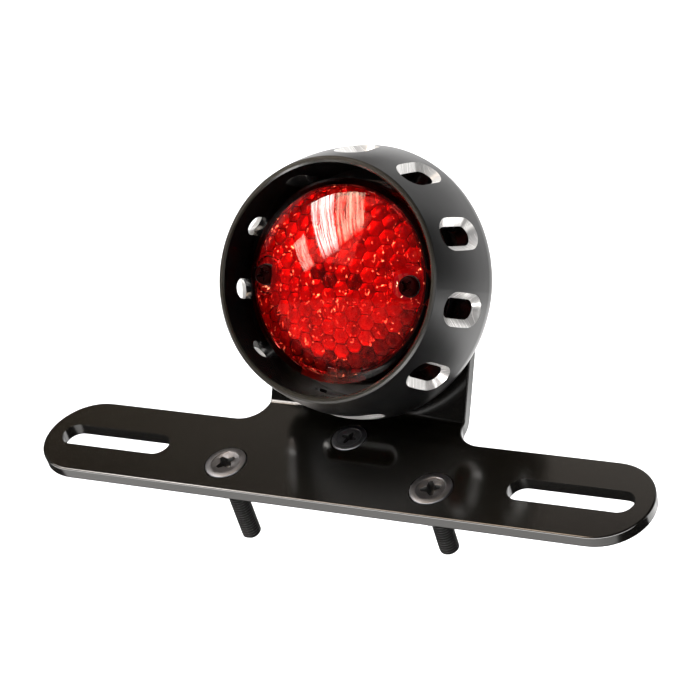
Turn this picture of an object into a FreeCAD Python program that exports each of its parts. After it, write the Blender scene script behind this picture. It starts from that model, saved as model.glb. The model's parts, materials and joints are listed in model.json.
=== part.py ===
import FreeCAD, Part
import math
import os

# Motorcycle tail light on a bent number-plate bracket.
# Drawing frame: the lamp's axis is the Y axis, the lens faces -Y and the housing's rim lies in the
# plane y = 0; X points right and Z up.  At the end every piece is shifted so that the origin is the
# fender mount: midway between the two long mounting screws, on the underside of the bracket's flange.
V = FreeCAD.Vector

# ---- housing: a turned aluminium bowl with milled slots ----
MOUTH_R = 28.3
RIM_R = 29.8
RIM_FLAT = 0.5
RIM_BREAK = 0.4
SIDE_Y = 11.0
SIDE_R = 32.65
BELLY_Y = 20.6
BELLY_R = 34.0
SHOULDER_Y = 24.0
SHOULDER_R = 33.2
HOUSING_DEPTH = 26.4
BACK_R = 30.8
FLOOR_Y = 21.6

# ---- milled slots around the housing ----
SLOT_PITCHES = 11
SLOT_LENGTH = 11.0
SLOT_WIDTH = 5.0
SLOT_CHAMFER = 2.0
SLOT_REACH = 7.0
SLOT_TILT = 12.2

# ---- wide window under the lamp, for the number-plate light ----
WINDOW_ANGLE = -90.0
WINDOW_SWEEP = 13.5
WINDOW_Y = 15.6
WINDOW_SURFACE_R = 33.45
WINDOW_WIDTH = 4.2
WINDOW_CHAMFER = 0.8

# ---- bent bracket ----
PLATE_T = 3.2
TAB_Y = HOUSING_DEPTH
TAB_HALF = 27.55
BEND_Z = -32.2
FLANGE_TILT = 40.8
BEND_R = 1.5
WING_NEAR = 7.3
WING_FAR = 32.8
WING_END_X = 71.5
EDGE_ROUND = 0.45
PLATE_SLOT_S = 20.05
PLATE_SLOT_IN = 51.1
PLATE_SLOT_OUT = 76.0
PLATE_SLOT_R = 3.6

# ---- countersunk screws, washers and nuts through the flange ----
LONG_SCREWS = {
    "thread_r": 2.5,
    "engaged_r": 2.1,
    "hole_r": 2.75,
    "head_r": 5.35,
    "dish_r": 3.7,
    "cross_span": 5.3,
    "cross_width": 1.05,
    "cross_depth": 1.9,
    "washer_r": 5.0,
    "washer_t": 1.0,
    "nut_flats": 8.0,
    "nut_t": 4.4,
}
CENTRE_SCREW = {
    "thread_r": 2.0,
    "engaged_r": 1.65,
    "hole_r": 2.2,
    "head_r": 4.5,
    "dish_r": 3.1,
    "cross_span": 4.5,
    "cross_width": 0.9,
    "cross_depth": 1.6,
    "washer_r": 4.5,
    "washer_t": 0.8,
    "nut_flats": 7.0,
    "nut_t": 3.2,
}
SCREW_X = 28.65
SCREW_S = 23.5
CENTRE_S = 9.8
LEFT_LENGTH = 24.5
RIGHT_LENGTH = 20.4
CENTRE_LENGTH = 12.0
LEFT_TURN = 37.0
RIGHT_TURN = -23.0
CENTRE_TURN = 12.0
HEAD_SINK = 0.3
HEAD_LAND = 0.55
HEAD_EDGE = 0.25
DISH_DEPTH = 0.15
SINK_GAP = 0.3
TIP_CHAMFER = 0.7
NUT_CHAMFER = 30.0
NUT_TURN = 20.0

# ---- lens ----
LENS_R = 25.0
LENS_APEX = 0.6
DOME_R = 49.6
DOME_EDGE_R = 22.9
LENS_STEP = 0.4
LENS_SHOULDER_R = 24.3
LENS_EDGE_Y = 7.6
LENS_WALL = 1.8
LENS_END = 17.6
LENS_SCREW_X = 19.9
BOSS_R = 5.0
BOSS_END = 12.6
WELL_TOP_R = 5.6
WELL_R = 3.3
WELL_TOP_Y = 3.6
WELL_FLOOR = 6.6
LENS_HOLE_R = 1.7
CAVITY_BREAK = 1.2
LENS_LEFT_TURN = 20.0
LENS_RIGHT_TURN = -35.0

# ---- clear window for the number-plate light ----
CLEAR_HALF_ANGLE = 21.0
CLEAR_FRONT = 8.6
CLEAR_BACK = 15.4

# ---- base and seals ----
GASKET_T = 0.6
GASKET_R = 25.3
BASE_FRONT = LENS_END + GASKET_T
POST_R = 3.8
CABLE_WELL_R = 7.0
PILOT_R = 1.5
PILOT_END = 20.4
HOUSING_PILOT = 3.2
BASE_SCREW_LENGTH = 4.3
BASE_SCREW_XZ = 11.5
BASE_SINK = 20.0
BASE_SINK_R = 3.0
PILLAR_R = 2.4
PILLAR_OUT = 17.0
BOARD_SCREW_LENGTH = 4.2

# ---- light unit ----
BOARD_R = 21.2
BOARD_T = 1.6
BOARD_FRONT = 15.4
BOARD_BACK = BOARD_FRONT + BOARD_T
BOARD_RELIEF_R = 4.5
LED_R = 2.5
LED_FLANGE_R = 2.8
LED_FLANGE_T = 1.0
LED_HEIGHT = 6.4
INNER_RING_R = 6.6
INNER_LEDS = 6
OUTER_RING_R = 13.2
OUTER_LEDS = 12
REFLECTOR_R = 19.0
REFLECTOR_FRONT = 11.4
REFLECTOR_T = 2.2
REFLECTOR_RELIEF_R = 5.5
CUP_FRONT_R = 3.1
CUP_BACK_R = 2.7
LEGS = 4
LEG_OUT = 17.4
LEG_R = 1.0
SIDE_BOARD_Z = -20.9
SIDE_BOARD_T = 1.0
SIDE_BOARD_HALF = 7.5
SIDE_BOARD_FRONT = 8.4
SIDE_LED_PITCH = 4.6
SIDE_LED_SIZE = 3.5
SIDE_LED_T = 1.1
CHIP_LENGTH = 3.2
CHIP_WIDTH = 1.6
CHIP_T = 0.6
CHIP_PITCH = 5.1
CHIP_OUT = 12.0
TERMINAL_WIDTH = 8.0
TERMINAL_HEIGHT = 5.0
TERMINAL_END = 20.3
TERMINAL_PITCH = 2.5
TERMINAL_HOLE_R = 0.7
TERMINAL_HOLE_DEPTH = 2.4

# ---- rear fixings and cable grommet ----
REAR_SCREW_X = 13.0
M4_R = 1.95
M4_CLEAR_R = 2.2
M4_TAP_R = 2.0
M4_TAP_END = 22.6
M4_HEAD_R = 4.0
M4_HEAD_T = 2.6
M4_WASHER_R = 4.5
M4_WASHER_T = 0.8
M4_SPRING_R = 3.6
M4_SPRING_T = 1.0
M4_SPRING_GAP = 0.8
SLIT_TURN = 70.0
CABLE_HOLE_R = 5.5
GROMMET_R = 5.4
GROMMET_BORE_R = 2.6
GROMMET_LIP_R = 7.2
GROMMET_LIP_T = 1.6
GROMMET_ROUND = 0.95
GROMMET_INNER_LIP_R = 6.6
GROMMET_INNER_LIP_T = 1.0

M3_R = 1.45
M3_HEAD_R = 2.5
M3_HEAD_T = 1.6
M2_R = 0.95
M2_HEAD_R = 1.8
M2_HEAD_T = 1.1
SEAL_T = 0.4
SEAL_MARGIN = 0.2

# ---- pan heads, as shares of the head's radius or height ----
PAN_ROUND = 0.45
PAN_CROSS_SPAN = 1.35
REAR_CROSS_SPAN = 1.2
PAN_CROSS_DEPTH = 0.6
SHANK_CHAMFER = 0.3
# Phillips cross, as shares of its span
WING_WIDTH = 0.2
CORE_TIP = 0.2
CORE_MOUTH = 0.28
TAPER_TIP = 0.25
TAPER_MOUTH = 0.75

# ---- clearances, and how far a cutter runs past what it cuts ----
FIT_GAP = 0.1
THREAD_GAP = 0.03
SEAT_GAP = 0.02
TIP_GAP = 0.5
OVER = 1.0
EPS = 0.01

# The flange's own frame: x along the plate, -y away from the bend line, z out of its upper face.
FLANGE = FreeCAD.Placement(V(0, TAB_Y, BEND_Z), FreeCAD.Rotation(V(1, 0, 0), FLANGE_TILT))
TAB_BACK = TAB_Y + PLATE_T
LENS_SCREWS = (-LENS_SCREW_X, LENS_SCREW_X)
REAR_SCREWS = (-REAR_SCREW_X, REAR_SCREW_X)


# ---- small building blocks ----
def moved(shape, placement):
    """A copy of a shape carried by a placement from where it is."""
    placed = shape.copy()
    placed.Placement = placement.multiply(shape.Placement)
    return placed


def on_flange(shape, x=0.0, s=0.0):
    """Put a shape drawn in the flange's frame at x along the plate and s away from the bend line."""
    return moved(shape, FLANGE.multiply(FreeCAD.Placement(V(x, -s, 0), FreeCAD.Rotation())))


def rod(radius, start, end, x=0.0, z=0.0):
    """A cylinder along the lamp's axis, from y = start to y = end."""
    return Part.makeCylinder(radius, end - start, V(x, start, z), V(0, 1, 0))


def taper(radius_start, radius_end, start, end, x=0.0, z=0.0):
    """A cone along the lamp's axis."""
    return Part.makeCone(radius_start, radius_end, end - start, V(x, start, z), V(0, 1, 0))


def tube(outer, inner, start, end, x=0.0, z=0.0):
    """A plain ring along the lamp's axis."""
    return rod(outer, start, end, x, z).cut(rod(inner, start - OVER, end + OVER, x, z))


def upright(radius, bottom, top):
    """A cylinder along local Z."""
    return Part.makeCylinder(radius, top - bottom, V(0, 0, bottom))


def box(x_size, y_size, z_size, centre):
    """A box about a centre point."""
    corner = V(centre.x - x_size / 2, centre.y - y_size / 2, centre.z - z_size / 2)
    return Part.makeBox(x_size, y_size, z_size, corner)


def group(shapes):
    """Several separate solids in one node."""
    return Part.makeCompound(shapes)


def in_yr(y, r):
    """A point of a turned outline: y along the axis, r out from it."""
    return V(r, y, 0)


def turned(edges, angle=360.0):
    """Turn a closed outline drawn in the X-Y plane about the lamp's axis."""
    return Part.Face(Part.Wire(edges)).revolve(V(0, 0, 0), V(0, 1, 0), angle)


def line(a, b):
    return Part.LineSegment(a, b).toShape()


def arc(a, middle, b):
    return Part.Arc(a, middle, b).toShape()


def path(points):
    """Straight edges through the points."""
    return [line(a, b) for a, b in zip(points, points[1:])]


def polar(radius, degrees):
    """A point on a circle about the lamp's axis, as x and z."""
    return radius * math.cos(math.radians(degrees)), radius * math.sin(math.radians(degrees))


def cross_recess(span, width, depth):
    """A Phillips recess cut down from local z = 0: four wings and a round-cornered core."""
    wing = Part.makeBox(span, width, depth, V(-span / 2, -width / 2, -depth))
    other = Part.makeBox(width, span, depth, V(-width / 2, -span / 2, -depth))
    core = Part.makeCone(CORE_TIP * span, CORE_MOUTH * span, depth, V(0, 0, -depth))
    shape = wing.fuse([other, core])
    rim = Part.makeCone(TAPER_TIP * span, TAPER_MOUTH * span, depth, V(0, 0, -depth))
    return shape.common(rim)


def facing_front(shape, x, y, z=0.0):
    """Turn a shape drawn along local Z so that local +Z points to -Y, and put it at a point."""
    return moved(shape, FreeCAD.Placement(V(x, y, z), FreeCAD.Rotation(V(1, 0, 0), 90)))


def facing_back(shape, x, y, z=0.0):
    """Turn a shape drawn along local Z so that local +Z points to +Y, and put it at a point."""
    return moved(shape, FreeCAD.Placement(V(x, y, z), FreeCAD.Rotation(V(1, 0, 0), -90)))


def pan_screw(head_r, head_t, shank_r, length, span):
    """A pan-head Phillips screw along local Z: it seats at z = 0 with its shank below."""
    head = upright(head_r, 0, head_t)
    top = [e for e in head.Edges if abs(e.CenterOfMass.z - head_t) < EPS]
    head = head.makeFillet(PAN_ROUND * head_t, top)
    recess = cross_recess(span, WING_WIDTH * span, PAN_CROSS_DEPTH * head_t)
    recess.translate(V(0, 0, head_t))
    shank = upright(shank_r, -length, 0)
    end = [e for e in shank.Edges if abs(e.CenterOfMass.z + length) < EPS and e.Length > shank_r]
    shank = shank.makeChamfer(SHANK_CHAMFER * shank_r, end)
    return head.cut(recess).fuse(shank)


def split_washer(outer, inner, thickness, gap):
    """A spring washer on local Z, from z = 0 up, with its slit."""
    ring = upright(outer, 0, thickness).cut(upright(inner, -OVER, thickness + OVER))
    slit = Part.makeBox(outer + OVER, gap, thickness + 2 * OVER, V(0, -gap / 2, -OVER))
    slit.rotate(V(0, 0, 0), V(0, 0, 1), SLIT_TURN)
    return ring.cut(slit)


# ---- housing ----
def obround(length, width, z):
    """A closed wire with full-radius ends, long side along local X."""
    r = width / 2
    c = length / 2 - r
    edges = [line(V(-c, -r, z), V(c, -r, z)), arc(V(c, -r, z), V(c + r, 0, z), V(c, r, z))]
    edges += [line(V(c, r, z), V(-c, r, z)), arc(V(-c, r, z), V(-c - r, 0, z), V(-c, -r, z))]
    return Part.Wire(edges)


def slot_cutter():
    """The tool body of one slot: a straight obround and its 45 degree mouth."""
    grow = 2 * (SLOT_CHAMFER + OVER)
    inner = obround(SLOT_LENGTH, SLOT_WIDTH, -SLOT_CHAMFER)
    outer = obround(SLOT_LENGTH + grow, SLOT_WIDTH + grow, OVER)
    mouth = Part.makeLoft([inner, outer], True, True)
    bottom = Part.Face(obround(SLOT_LENGTH, SLOT_WIDTH, -SLOT_REACH))
    straight = bottom.extrude(V(0, 0, SLOT_REACH - SLOT_CHAMFER))
    return straight.fuse(mouth)


def at_housing_side(shape, angle, surface_r, y, tilt):
    """Stand a cutter's local Z out of the housing's flank, at an angle measured from +X towards +Z."""
    lean = FreeCAD.Placement(V(0, 0, 0), FreeCAD.Rotation(V(0, 1, 0), -tilt))
    swap = FreeCAD.Rotation(V(0, 1, 0), V(0, 0, 1), V(1, 0, 0), "XYZ")
    stand = FreeCAD.Placement(V(surface_r, y, 0), swap)
    spin = FreeCAD.Placement(V(0, 0, 0), FreeCAD.Rotation(V(0, 1, 0), -angle))
    return moved(shape, spin.multiply(stand.multiply(lean)))


def milled_slot(angle):
    return at_housing_side(slot_cutter(), angle, SIDE_R, SIDE_Y, SLOT_TILT)


def window_end(angle):
    """A countersunk round hole: what the cutter leaves at one end of the wide window."""
    half = WINDOW_WIDTH / 2
    hole = upright(half, -SLOT_REACH, 0)
    flare = WINDOW_CHAMFER + OVER
    mouth = Part.makeCone(half, half + flare, flare, V(0, 0, -WINDOW_CHAMFER))
    return at_housing_side(hole.fuse(mouth), angle, WINDOW_SURFACE_R, WINDOW_Y, 0)


def plate_light_opening():
    """The wide window at the bottom: a chamfered groove swept about the lamp's axis, with round ends."""
    half = WINDOW_WIDTH / 2
    wide = half + WINDOW_CHAMFER + OVER
    corners = [V(-half, 0, -SLOT_REACH), V(half, 0, -SLOT_REACH), V(half, 0, -WINDOW_CHAMFER)]
    corners += [V(wide, 0, OVER), V(-wide, 0, OVER), V(-half, 0, -WINDOW_CHAMFER)]
    section = Part.Face(Part.makePolygon(corners + corners[:1]))
    start = at_housing_side(section, WINDOW_ANGLE + WINDOW_SWEEP, WINDOW_SURFACE_R, WINDOW_Y, 0)
    middle = start.revolve(V(0, 0, 0), V(0, 1, 0), 2 * WINDOW_SWEEP)
    return middle.fuse([window_end(WINDOW_ANGLE + side * WINDOW_SWEEP) for side in (-1, 1)])


def housing():
    inner_floor = in_yr(FLOOR_Y, 0)
    lip = [inner_floor, in_yr(FLOOR_Y, MOUTH_R), in_yr(RIM_BREAK, MOUTH_R), in_yr(0, MOUTH_R + RIM_BREAK)]
    lip += [in_yr(0, RIM_R - RIM_FLAT), in_yr(RIM_FLAT, RIM_R)]
    edges = path(lip)
    edges.append(arc(in_yr(RIM_FLAT, RIM_R), in_yr(SIDE_Y, SIDE_R), in_yr(BELLY_Y, BELLY_R)))
    shoulder = in_yr(SHOULDER_Y, SHOULDER_R)
    edges.append(arc(in_yr(BELLY_Y, BELLY_R), shoulder, in_yr(HOUSING_DEPTH, BACK_R)))
    edges += path([in_yr(HOUSING_DEPTH, BACK_R), in_yr(HOUSING_DEPTH, 0), inner_floor])
    bowl = turned(edges)
    pitch = 360.0 / SLOT_PITCHES
    cutters = []
    for index in range(SLOT_PITCHES):
        angle = 90.0 + index * pitch
        off_bottom = abs((angle - WINDOW_ANGLE + 180.0) % 360.0 - 180.0)
        if off_bottom > pitch:
            cutters.append(milled_slot(angle))
    cutters.append(plate_light_opening())
    cutters.append(rod(CABLE_HOLE_R, FLOOR_Y - OVER, HOUSING_DEPTH + OVER))
    for x in REAR_SCREWS:
        cutters.append(rod(M4_TAP_R, M4_TAP_END, HOUSING_DEPTH + OVER, x))
    for side in (-1, 1):
        place = side * BASE_SCREW_XZ
        cutters.append(rod(PILOT_R, FLOOR_Y - OVER, FLOOR_Y + HOUSING_PILOT, place, place))
    return bowl.cut(cutters)


# ---- bracket ----
def bent_strip():
    """The tab, the bend and the middle of the flange, as one strip as wide as the tab."""
    turn = 90.0 - FLANGE_TILT
    run = BEND_R * math.tan(math.radians(turn / 2))
    centre = V(0, TAB_Y - BEND_R, BEND_Z + run)

    def on_bend(radius, degrees):
        lean = math.radians(degrees)
        return V(0, centre.y + radius * math.cos(lean), centre.z - radius * math.sin(lean))

    inner = [on_bend(BEND_R, a) for a in (0, turn / 2, turn)]
    outer = [on_bend(BEND_R + PLATE_T, a) for a in (0, turn / 2, turn)]
    tip_top = FLANGE.multVec(V(0, -WING_FAR, 0))
    tip_under = FLANGE.multVec(V(0, -WING_FAR, -PLATE_T))
    edges = [arc(*inner), line(inner[2], tip_top), line(tip_top, tip_under), line(tip_under, outer[2])]
    edges += [arc(*outer[::-1]), line(outer[0], V(0, TAB_BACK, 0)), line(V(0, TAB_BACK, 0), V(0, TAB_Y, 0))]
    edges.append(line(V(0, TAB_Y, 0), inner[0]))
    strip = Part.Face(Part.Wire(Part.__sortEdges__(edges))).extrude(V(2 * TAB_HALF, 0, 0))
    strip.translate(V(-TAB_HALF, 0, 0))
    return strip, run


def wings(run):
    """The flange's outline with its rounded ends and the fillets into the neck."""
    fillet = WING_NEAR - run
    end_r = (WING_FAR - WING_NEAR) / 2
    mid_s = (WING_FAR + WING_NEAR) / 2
    diag = fillet * (1 - math.sqrt(0.5))
    near = -WING_NEAR
    far = -WING_FAR
    edges = []
    for side in (-1, 1):
        neck = V(side * TAB_HALF, -run, 0)
        corner = V(side * (TAB_HALF + diag), -run - fillet + diag, 0)
        root = V(side * (TAB_HALF + fillet), near, 0)
        tip_near = V(side * WING_END_X, near, 0)
        tip = V(side * (WING_END_X + end_r), -mid_s, 0)
        tip_far = V(side * WING_END_X, far, 0)
        edges += [arc(neck, corner, root), line(root, tip_near), arc(tip_near, tip, tip_far)]
    edges.append(line(V(-TAB_HALF, -run, 0), V(TAB_HALF, -run, 0)))
    edges.append(line(V(-WING_END_X, far, 0), V(WING_END_X, far, 0)))
    face = Part.Face(Part.Wire(Part.__sortEdges__(edges)))
    return on_flange(face.extrude(V(0, 0, -PLATE_T)))


def sheet_edges(blank):
    """The blank's long edges: all but those across its thickness and the bend's seams."""
    rim = []
    for edge in blank.Edges:
        a = edge.Vertexes[0].Point
        b = edge.Vertexes[-1].Point
        crosses = edge.Length < PLATE_T + EPS and abs(a.x - b.x) < EPS and abs(abs(a.x) - TAB_HALF) > EPS
        seam = abs(edge.Length - 2 * TAB_HALF) < EPS and a.z > FLANGE.multVec(V(0, -WING_FAR / 2, 0)).z
        square = abs(edge.Length - PLATE_T) < EPS
        if not crosses and not seam and not square:
            rim.append(edge)
    return rim


def bracket():
    strip, run = bent_strip()
    top = rod(TAB_HALF, TAB_Y, TAB_BACK)
    blank = strip.fuse([wings(run), top]).removeSplitter()
    blank = blank.makeFillet(EDGE_ROUND, sheet_edges(blank))
    cutters = [rod(CABLE_HOLE_R, TAB_Y - OVER, TAB_BACK + OVER)]
    for x in REAR_SCREWS:
        cutters.append(rod(M4_CLEAR_R, TAB_Y - OVER, TAB_BACK + OVER, x))
    length = PLATE_SLOT_OUT - PLATE_SLOT_IN + 2 * PLATE_SLOT_R
    centre = (PLATE_SLOT_OUT + PLATE_SLOT_IN) / 2
    outline = Part.Face(obround(length, 2 * PLATE_SLOT_R, -PLATE_T - OVER))
    slot = outline.extrude(V(0, 0, PLATE_T + 2 * OVER))
    for side in (-1, 1):
        cutters.append(on_flange(slot, side * centre, PLATE_SLOT_S))
        cutters.append(on_flange(countersunk_hole(LONG_SCREWS), side * SCREW_X, SCREW_S))
    cutters.append(on_flange(countersunk_hole(CENTRE_SCREW), 0, CENTRE_S))
    return blank.cut(cutters)


# ---- hardware through the flange ----
def countersunk_hole(size):
    """The cutter for one screw's clearance hole and its 90 degree countersink."""
    mouth_r = size["head_r"] + SINK_GAP
    sink = Part.makeCone(mouth_r - PLATE_T, mouth_r, PLATE_T, V(0, 0, -PLATE_T))
    return upright(size["hole_r"], -PLATE_T - OVER, OVER).fuse(sink)


def stack_end(size):
    """Depth below the flange's face at which the nut ends and the free thread begins."""
    return PLATE_T + size["washer_t"] + size["nut_t"]


def flange_screw(size, length, turn):
    """A countersunk Phillips screw in the flange's frame: its cone seats in the plate's countersink.

    The thread inside the nut is drawn at the nut's minor radius and the free thread below it at full size.
    """
    seat = -HEAD_SINK
    rim_r = size["head_r"] - SEAT_GAP
    engaged_r = size["engaged_r"]
    cone_depth = size["head_r"] - engaged_r
    cone = Part.makeCone(engaged_r, rim_r, cone_depth, V(0, 0, seat - cone_depth))
    top = seat + HEAD_LAND
    land = upright(rim_r, seat, top)
    crown = [e for e in land.Edges if abs(e.CenterOfMass.z - top) < EPS]
    land = land.makeFillet(HEAD_EDGE, crown)
    dish = upright(size["dish_r"], top - DISH_DEPTH, top + OVER)
    free = -stack_end(size)
    engaged = upright(engaged_r, free, seat - cone_depth)
    thread = upright(size["thread_r"], -length, free)
    end = [e for e in thread.Edges if abs(e.CenterOfMass.z + length) < EPS and e.Length > size["thread_r"]]
    thread = thread.makeChamfer(TIP_CHAMFER, end)
    recess = cross_recess(size["cross_span"], size["cross_width"], size["cross_depth"])
    recess.rotate(V(0, 0, 0), V(0, 0, 1), -turn)
    recess.translate(V(0, 0, top - DISH_DEPTH + EPS))
    return cone.fuse([land, engaged, thread]).cut([dish, recess])


def flat_washer(size):
    thickness = size["washer_t"]
    washer = upright(size["washer_r"], -thickness, 0).cut(upright(size["hole_r"], -thickness - OVER, OVER))
    washer.translate(V(0, 0, -PLATE_T))
    return washer


def nut(size):
    """A hexagon nut with its corners chamfered on both faces."""
    flats = size["nut_flats"]
    height = size["nut_t"]
    corner = flats / math.sqrt(3)
    points = [V(*polar(corner, 60 * i + NUT_TURN), 0) for i in range(7)]
    blank = Part.Face(Part.makePolygon(points)).extrude(V(0, 0, height))
    rise = (corner - flats / 2) * math.tan(math.radians(NUT_CHAMFER))
    low = Part.makeCone(flats / 2, corner, rise, V(0, 0, 0))
    middle = upright(corner, rise, height - rise)
    high = Part.makeCone(corner, flats / 2, rise, V(0, 0, height - rise))
    shape = blank.common(low.fuse([middle, high]))
    shape = shape.cut(upright(size["engaged_r"] + SEAT_GAP, -OVER, height + OVER))
    shape.translate(V(0, 0, -stack_end(size)))
    return shape


def at_each_screw(make):
    """The same kind of piece on all three flange screws, in each screw's own size."""
    places = [
        (LONG_SCREWS, -SCREW_X, SCREW_S),
        (LONG_SCREWS, SCREW_X, SCREW_S),
        (CENTRE_SCREW, 0, CENTRE_S),
    ]
    return group([on_flange(make(size), x, s) for size, x, s in places])


# ---- lens and its seals ----
def dome_y(r, skin=0.0):
    """Depth of the lens's front surface, or of a surface parallel to it, at radius r."""
    return LENS_APEX + DOME_R - math.sqrt((DOME_R - skin) ** 2 - r ** 2)


def lens_envelope():
    apex = in_yr(dome_y(0), 0)
    middle = in_yr(dome_y(DOME_EDGE_R / 2), DOME_EDGE_R / 2)
    edge_y = dome_y(DOME_EDGE_R)
    edges = [arc(apex, middle, in_yr(edge_y, DOME_EDGE_R))]
    rest = [in_yr(edge_y, DOME_EDGE_R), in_yr(edge_y + LENS_STEP, DOME_EDGE_R)]
    rest += [in_yr(LENS_EDGE_Y - LENS_STEP, LENS_SHOULDER_R), in_yr(LENS_EDGE_Y, LENS_R)]
    rest += [in_yr(LENS_END, LENS_R), in_yr(LENS_END, 0), apex]
    return turned(edges + path(rest))


def lens_cavity():
    bore_r = LENS_R - LENS_WALL
    rim_r = bore_r - CAVITY_BREAK
    apex = in_yr(dome_y(0, LENS_WALL), 0)
    middle = in_yr(dome_y(rim_r / 2, LENS_WALL), rim_r / 2)
    rim = in_yr(dome_y(rim_r, LENS_WALL), rim_r)
    back = LENS_END + OVER
    rest = [rim, in_yr(rim.y + CAVITY_BREAK, bore_r), in_yr(back, bore_r), in_yr(back, 0), apex]
    return turned([arc(apex, middle, rim)] + path(rest))


def clear_segment():
    """The piece of the lens's side wall over the number-plate lights."""
    inner = LENS_R - LENS_WALL
    corners = [in_yr(CLEAR_FRONT, inner), in_yr(CLEAR_FRONT, LENS_R), in_yr(CLEAR_BACK, LENS_R)]
    corners += [in_yr(CLEAR_BACK, inner), in_yr(CLEAR_FRONT, inner)]
    segment = turned(path(corners), 2 * CLEAR_HALF_ANGLE)
    segment.rotate(V(0, 0, 0), V(0, 1, 0), 90 - CLEAR_HALF_ANGLE)
    return segment


def lens():
    envelope = lens_envelope()
    shape = envelope.cut(lens_cavity())
    cutters = [clear_segment()]
    for x in LENS_SCREWS:
        boss = rod(BOSS_R, 0, BOSS_END, x).common(envelope)
        shape = shape.fuse(boss)
        cutters.append(taper(WELL_TOP_R, WELL_R, WELL_TOP_Y, WELL_FLOOR, x))
        cutters.append(rod(LENS_HOLE_R, 0, BOSS_END + OVER, x))
    return shape.cut(cutters)


def lens_gasket():
    return tube(GASKET_R, LENS_R - LENS_WALL, LENS_END, BASE_FRONT)


def lens_screw_seals():
    outer = M3_HEAD_R + SEAL_MARGIN
    return group([tube(outer, LENS_HOLE_R, WELL_FLOOR - SEAL_T, WELL_FLOOR, x) for x in LENS_SCREWS])


def lens_screw(x, turn):
    seat = WELL_FLOOR - SEAL_T
    length = PILOT_END - TIP_GAP - seat
    screw = pan_screw(M3_HEAD_R, M3_HEAD_T, M3_R, length, PAN_CROSS_SPAN * M3_HEAD_R)
    screw.rotate(V(0, 0, 0), V(0, 0, 1), turn)
    return facing_front(screw, x, seat)


# ---- base ----
def lamp_base():
    shape = rod(GASKET_R, BASE_FRONT, FLOOR_Y)
    inside_lens = rod(LENS_R - LENS_WALL - FIT_GAP, 0, FLOOR_Y)
    cutters = [rod(CABLE_WELL_R, BASE_FRONT - OVER, FLOOR_Y + OVER)]
    for side in (-1, 1):
        post = rod(POST_R, BOSS_END, BASE_FRONT, side * LENS_SCREW_X)
        shape = shape.fuse(post.common(inside_lens))
        shape = shape.fuse(rod(PILLAR_R, BOARD_BACK, BASE_FRONT, 0, side * PILLAR_OUT))
        cutters.append(rod(PILOT_R, BOSS_END - OVER, PILOT_END, side * LENS_SCREW_X))
        cutters.append(rod(M2_R + THREAD_GAP, BOARD_BACK - OVER, PILOT_END, 0, side * PILLAR_OUT))
        x = side * BASE_SCREW_XZ
        cutters.append(rod(BASE_SINK_R, BASE_FRONT - OVER, BASE_SINK, x, x))
        cutters.append(rod(PILOT_R + FIT_GAP, BASE_SINK - OVER, FLOOR_Y + OVER, x, x))
    return shape.cut(cutters)


def base_screws():
    screw = pan_screw(M3_HEAD_R, M3_HEAD_T, M3_R, BASE_SCREW_LENGTH, PAN_CROSS_SPAN * M3_HEAD_R)
    places = [side * BASE_SCREW_XZ for side in (-1, 1)]
    return group([facing_front(screw, x, BASE_SINK, x) for x in places])


# ---- light unit ----
def led_places():
    """One at the centre and two rings round it, as x and z."""
    inner = [polar(INNER_RING_R, 360 / INNER_LEDS * i) for i in range(INNER_LEDS)]
    outer = [polar(OUTER_RING_R, 360 / OUTER_LEDS * (i + 0.5)) for i in range(OUTER_LEDS)]
    return [(0.0, 0.0)] + inner + outer


def circuit_board():
    start = BOARD_FRONT - OVER
    end = BOARD_BACK + OVER
    cutters = [rod(BOARD_RELIEF_R, start, end, x) for x in LENS_SCREWS]
    cutters += [rod(M2_R + FIT_GAP, start, end, 0, side * PILLAR_OUT) for side in (-1, 1)]
    return rod(BOARD_R, BOARD_FRONT, BOARD_BACK).cut(cutters)


def board_screws():
    screw = pan_screw(M2_HEAD_R, M2_HEAD_T, M2_R, BOARD_SCREW_LENGTH, PAN_CROSS_SPAN * M2_HEAD_R)
    return group([facing_front(screw, 0, BOARD_FRONT, side * PILLAR_OUT) for side in (-1, 1)])


def tail_led():
    """A round through-hole light-emitting diode standing on local z = 0."""
    body = upright(LED_FLANGE_R, 0, LED_FLANGE_T).fuse(upright(LED_R, 0, LED_HEIGHT - LED_R))
    dome = Part.makeSphere(LED_R, V(0, 0, LED_HEIGHT - LED_R))
    return body.fuse(dome).removeSplitter()


def tail_leds():
    return group([facing_front(tail_led(), x, BOARD_FRONT, z) for x, z in led_places()])


def reflector():
    back = REFLECTOR_FRONT + REFLECTOR_T
    plate = rod(REFLECTOR_R, REFLECTOR_FRONT, back)
    legs = []
    for index in range(LEGS):
        x, z = polar(LEG_OUT, 360 / LEGS * (index + 0.5))
        legs.append(rod(LEG_R, back, BOARD_FRONT, x, z))
    cutters = [rod(REFLECTOR_RELIEF_R, REFLECTOR_FRONT - OVER, back + OVER, x) for x in LENS_SCREWS]
    cutters += [taper(CUP_FRONT_R, CUP_BACK_R, REFLECTOR_FRONT, back, x, z) for x, z in led_places()]
    return plate.fuse(legs).cut(cutters)


def plate_light_board():
    depth = BOARD_FRONT - SIDE_BOARD_FRONT
    centre = V(0, SIDE_BOARD_FRONT + depth / 2, SIDE_BOARD_Z + SIDE_BOARD_T / 2)
    return box(2 * SIDE_BOARD_HALF, depth, SIDE_BOARD_T, centre)


def plate_leds():
    middle_y = (CLEAR_FRONT + CLEAR_BACK) / 2
    leds = []
    for index in (-1, 0, 1):
        centre = V(index * SIDE_LED_PITCH, middle_y, SIDE_BOARD_Z - SIDE_LED_T / 2)
        leds.append(box(SIDE_LED_SIZE, SIDE_LED_SIZE, SIDE_LED_T, centre))
    return group(leds)


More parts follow.
